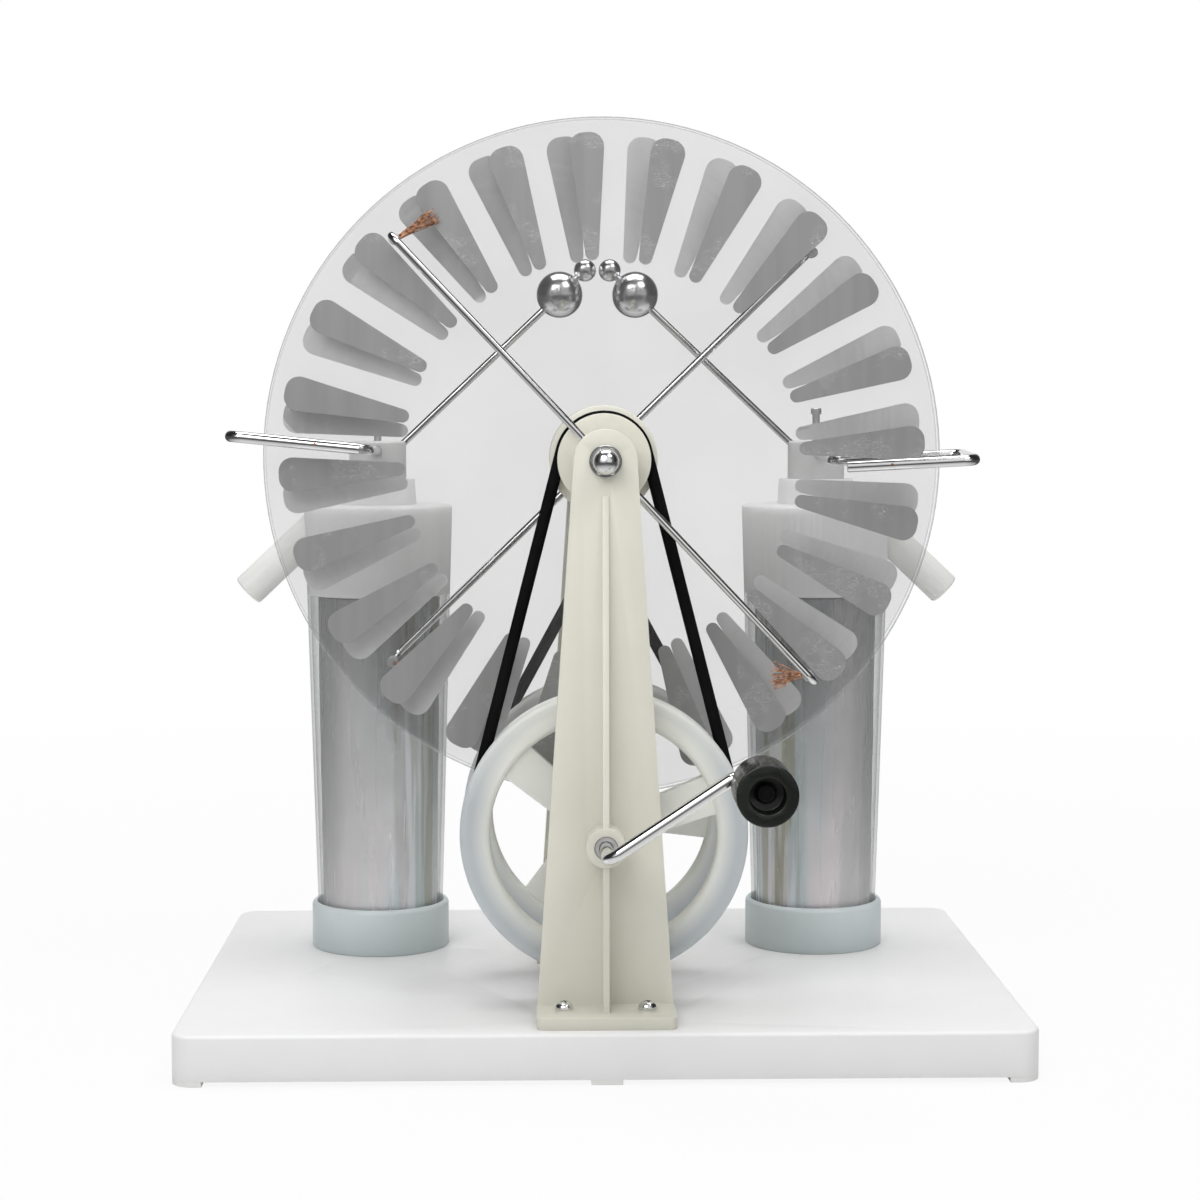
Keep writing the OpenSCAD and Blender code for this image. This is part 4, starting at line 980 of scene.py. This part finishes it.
# Node, body, material slot, finish and width of the rounding in millimetres
SOFTENED = (
    ("front_upright", "stand", "cream_plastic", "cream", 0.45),
    ("rear_upright", "stand", "cream_plastic", "cream", 0.45),
    ("front_drive_wheel", "crank", "milky_plastic", "wheel", 0.4),
    ("rear_drive_wheel", "crank", "milky_plastic", "wheel", 0.4),
    ("front_pulley", "front_disc", "cream_plastic", "cream", 0.3),
    ("rear_pulley", "rear_disc", "cream_plastic", "cream", 0.3),
    ("base_board", "stand", "white_board", "white_laminate", 0.7),
    ("front_neutralizer_collar", "front_neutralizer", "milky_plastic", "cream", 0.3),
    ("rear_neutralizer_collar", "rear_neutralizer", "milky_plastic", "cream", 0.3),
    ("crank_handle", "handle", "dark_plastic", "dark_grip", 0.5),
    ("left_jar_seat", "stand", "milky_plastic", "milky", 0.9),
    ("right_jar_seat", "stand", "milky_plastic", "milky", 0.9),
    ("left_jar_cap", "stand", "cap_plastic", "cap", 0.7),
    ("right_jar_cap", "stand", "cap_plastic", "cap", 0.7),
    ("left_terminal_block", "stand", "cap_plastic", "block", 0.5),
    ("right_terminal_block", "stand", "cap_plastic", "block", 0.5),
    ("left_discharger_handle", "left_discharger", "white_grip", "white_grip", 0.5),
    ("right_discharger_handle", "right_discharger", "white_grip", "white_grip", 0.5))
SHARP_ANGLE = 35
FLAT_ANGLE = 1.0
SAME_POINT = 0.01  # millimetres


def build_softened(node, body, slot, finish, width):
    """A copy of a CAD node with its sharp edges rounded, to stand for the node."""
    source = nodes[node]
    piece = source.copy()
    piece.data = source.data.copy()
    piece.name = node + "_softened"
    add_to_scene(piece)
    activate(piece)
    start_edit()
    bpy.ops.mesh.remove_doubles(threshold=SAME_POINT * MM)
    bpy.ops.mesh.dissolve_limited(angle_limit=math.radians(FLAT_ANGLE))
    bpy.ops.object.mode_set(mode="OBJECT")
    edge = piece.modifiers.new("soft edge", "BEVEL")
    edge.width = width * MM
    edge.segments = 2
    edge.limit_method = "ANGLE"
    edge.angle_limit = math.radians(SHARP_ANGLE)
    apply_modifiers(piece)
    smooth(piece, SMALL_PART_SMOOTH)
    paint(piece, finish)
    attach(piece, body)
    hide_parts(node)


# Belts, as round cords along the paths that the CAD model gives them


CROSSING_ROOM = 0.3  # between the grooves' plane and the side of each crossed run
PULLEY_STEPS = {False: 36, True: 40}  # by whether the belt is crossed
WHEEL_STEPS = 64
RUN_STEPS = {False: 12, True: 24}


def arc_points(height, radius, start, end, count):
    points = []
    for i in range(count + 1):
        angle = math.radians(start + (end - start) * i / count)
        points.append((radius * math.cos(angle), 0.0, height + radius * math.sin(angle)))
    return points


def run_points(first, last, offset, peak, count):
    """A straight run between two points that swings aside by an offset, most at its peak."""
    points = []
    for i in range(1, count):
        u = i / count
        if u < peak:
            lift = math.sin(math.pi / 2 * u / peak)
        else:
            lift = math.cos(math.pi / 2 * (u - peak) / (1 - peak))
        x, y, z = (a + (b - a) * u for a, b in zip(first, last))
        points.append((x, y + offset * lift * lift, z))
    return points


def belt_path(crossed):
    """The closed path of a belt in its grooves, over the pulley and under the wheel."""
    if crossed:
        lean = math.degrees(math.asin((WHEEL_R + PULLEY_R) / AXIS_SPAN))
        pulley_arc = (-lean, 180 + lean)
        wheel_arc = (lean, -180 - lean)
        aside = BELT_R + CROSSING_ROOM
        peak = PULLEY_R / (PULLEY_R + WHEEL_R)
    else:
        lean = math.degrees(math.asin((WHEEL_R - PULLEY_R) / AXIS_SPAN))
        pulley_arc = (lean, 180 - lean)
        wheel_arc = (180 - lean, 360 + lean)
        aside = 0
        peak = 0.5
    runs = RUN_STEPS[crossed]
    top = arc_points(SPINDLE_MM, PULLEY_R, *pulley_arc, PULLEY_STEPS[crossed])
    low = arc_points(CRANK_MM, WHEEL_R, *wheel_arc, WHEEL_STEPS)
    return (top + run_points(top[-1], low[0], aside, peak, runs) + low
            + run_points(low[-1], top[0], -aside, 1 - peak, runs))


def build_belt(name, node, side, crossed):
    path = [(x * MM, (MIDDLE_Y + side * (GROOVE_PLANE - y)) * MM, z * MM)
            for x, y, z in belt_path(crossed)]
    belt = cord(name, [path], BELT_R, resolution=3, closed=True)
    start_edit()
    end_edit_facing_out()
    smooth(belt, CORD_SMOOTH)
    paint(belt, "belt")
    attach(belt, "stand")
    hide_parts(node)


# Neutralizer brushes: crimped ferrules with springy tinsel


STRAND_R = 0.15
STRAND_STEPS = 8
STRAND_ROOT = BRUSH_FOOT + 1.0
STRAND_ROOM = 0.5  # between the lowest strand's aim and the sectors
STRAND_GAP = 0.45  # the least room between a strand's middle and the sectors
STRAND_REACH = (0.8, 1.0)  # share of the strands' length
STRAND_FALL = (0.35, 1.0)  # share of the way down to the sectors
STRAND_SCATTER_OUT = 0.7
STRAND_SCATTER_ALONG = 0.4
STRAND_SWAY = 0.5
STRAND_SWAYS = 2.0  # sways from root to tip
STRAND_GATHER = 0.3  # share of the scatter that is lost at the tip
STRAND_STEPPING = 1.15  # above 1, the steps are shorter near the root
STRAND_FAN_AT_ROOT = 0.25
STRAND_FALL_PACE = 1.7
STRAND_FALL_CURVE = 0.8

# Name, node, body, side, angle in degrees and lean, then for each end the strands' slant in
# degrees, length, spread in degrees, count and seed
BRUSHES = (
    ("front_tinsel_brushes", "front_brushes", "front_neutralizer", FRONT, 133.5, -1,
     ((11, 19.5, 17, 34, 11), (42, 15.0, 46, 34, 12))),
    ("rear_tinsel_brushes", "rear_brushes", "rear_neutralizer", REAR, 44.2, 1,
     ((20, 14.0, 22, 24, 13), (24, 13.0, 22, 24, 14))))


def polar_point(angle, out, along, depth, side):
    """A point out from the spindle at an angle, moved along the turn and off the discs' plane."""
    c, s = math.cos(math.radians(angle)), math.sin(math.radians(angle))
    return ((out * c - along * s) * MM, (MIDDLE_Y + side * depth) * MM,
            (SPINDLE_MM + out * s + along * c) * MM)


def strand_path(rng, angle, side, lean, slant, length, spread):
    """A wavy strand that fans out from its ferrule and bends down towards the sectors."""
    start = math.radians(slant)
    fan = math.radians(slant + spread * (rng.random() - 0.5))
    reach = length * rng.uniform(*STRAND_REACH)
    off_out = rng.uniform(-STRAND_SCATTER_OUT, STRAND_SCATTER_OUT)
    off_along = rng.uniform(-STRAND_SCATTER_ALONG, STRAND_SCATTER_ALONG)
    low = rng.uniform(*STRAND_FALL)
    sway = rng.uniform(-STRAND_SWAY, STRAND_SWAY)
    points = []
    for k in range(STRAND_STEPS + 1):
        u = k / STRAND_STEPS
        go = reach * (u ** STRAND_STEPPING)
        aim = start + (fan - start) * min(1.0, STRAND_FAN_AT_ROOT + u)
        aside = sway * math.sin(2.0 * math.pi * STRAND_SWAYS * u)
        out = BRUSH_R + off_out * (1 - STRAND_GATHER * u) - go * math.sin(aim) + aside
        along = lean * (go * math.cos(aim) + off_along)
        way_down = min(1.0, u * STRAND_FALL_PACE) ** STRAND_FALL_CURVE
        fall = (STRAND_ROOT - FOIL_FACE - STRAND_ROOM) * low * way_down
        depth = max(STRAND_ROOT - fall, FOIL_FACE + STRAND_GAP)
        points.append(polar_point(angle, out, along, depth, side))
    return points


def brush_strands(name, angle, side, lean, slant, length, spread, count, seed):
    rng = random.Random(seed)
    paths = [strand_path(rng, angle, side, lean, slant, length, spread) for _ in range(count)]
    return cord(name, paths, STRAND_R, resolution=0)


def brush_ferrule(angle, side):
    ferrule = turned("ferrule", FERRULE, FERRULE_SIDES)
    place = polar_point(angle, BRUSH_R, 0, BRUSH_FOOT + FERRULE_LENGTH, side)
    put(ferrule, [v / MM for v in place], FACING[-side])
    smooth(ferrule, SMALL_PART_SMOOTH)
    return ferrule


def build_brushes(name, node, body, side, angle, lean, ends):
    pieces = []
    for end, strands in enumerate(ends):
        at = angle + 180 * end
        pieces.append(brush_strands(name, at, side, lean, *strands))
        paint(pieces[-1], "copper")
        pieces.append(brush_ferrule(at, side))
        paint(pieces[-1], "post")
    brushes = join(pieces, name)
    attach(brushes, body)
    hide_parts(node)


# Foil in the jars, drawn up from its foot with upright folds and a few dents


LINER_ROUNDS = 180
LINER_LEVELS = 56
LINER_WALL = 0.12
FOLD_STRETCH = 14
FOLD_SHIFT = 0.4  # metres aside, so that the two jars' folds differ
FOLD_REST = 0.3  # level of the pattern that leaves the foil where it is

# Name, size in metres, depth in millimetres, and whether it is stretched upwards
LINER_RELIEF = (
    ("upright folds", 0.012, 0.5, True), ("fine folds", 0.004, 0.16, True),
    ("dents", 0.02, 0.45, False))


def build_foil_liner(side, name, node):
    liner = circle(name, LINER_ROUNDS, LINER_FOOT_R, LINER_FOOT, "NOTHING")
    lift = (LINER_RIM - LINER_FOOT) / LINER_LEVELS * MM
    radii = [LINER_FOOT_R + (LINER_RIM_R - LINER_FOOT_R) * level / LINER_LEVELS
             for level in range(LINER_LEVELS + 1)]
    draw_up([(lift, wider / radius) for radius, wider in zip(radii, radii[1:])])
    stretch = bpy.data.objects.new("fold direction", None)
    stretch.location = (side * FOLD_SHIFT, 0, 0)
    stretch.scale = (1, 1, FOLD_STRETCH)
    add_to_scene(stretch)
    bpy.context.view_layer.update()
    for label, size, depth, stretched in LINER_RELIEF:
        pattern = bpy.data.textures.new(label, "CLOUDS")
        pattern.noise_scale = size
        pattern.noise_depth = 1
        push = liner.modifiers.new(label, "DISPLACE")
        push.texture = pattern
        push.texture_coords = "OBJECT" if stretched else "LOCAL"
        push.texture_coords_object = stretch if stretched else None
        push.strength = depth * MM
        push.mid_level = FOLD_REST
    wall = liner.modifiers.new("wall", "SOLIDIFY")
    wall.thickness = LINER_WALL * MM
    wall.offset = -1.0
    apply_modifiers(liner)
    bpy.data.objects.remove(stretch, do_unlink=True)
    put(liner, (side * JAR_X / MM, JAR_Y / MM, 0))
    smooth(liner, FOIL_SMOOTH)
    paint(liner, "jar_foil_with_painted_reflections")
    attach(liner, "stand")
    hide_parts(node)


build_camera()
build_world()
for lamp_row in LAMPS:
    build_lamp(*lamp_row)
build_floor()
groups = build_groups()
materials = build_materials()
finish_nodes()
build_flange_screws()
build_cap_nuts()
build_washers()
for soft_row in SOFTENED:
    build_softened(*soft_row)
build_belt("front_round_belt", "front_belt", FRONT, False)
build_belt("rear_round_belt", "rear_belt", REAR, True)
for brush_row in BRUSHES:
    build_brushes(*brush_row)
build_foil_liner(LEFT, "left_foil_liner", "left_outer_foil")
build_foil_liner(RIGHT, "right_foil_liner", "right_outer_foil")

scene = bpy.context.scene
scene.view_settings.view_transform = "Standard"
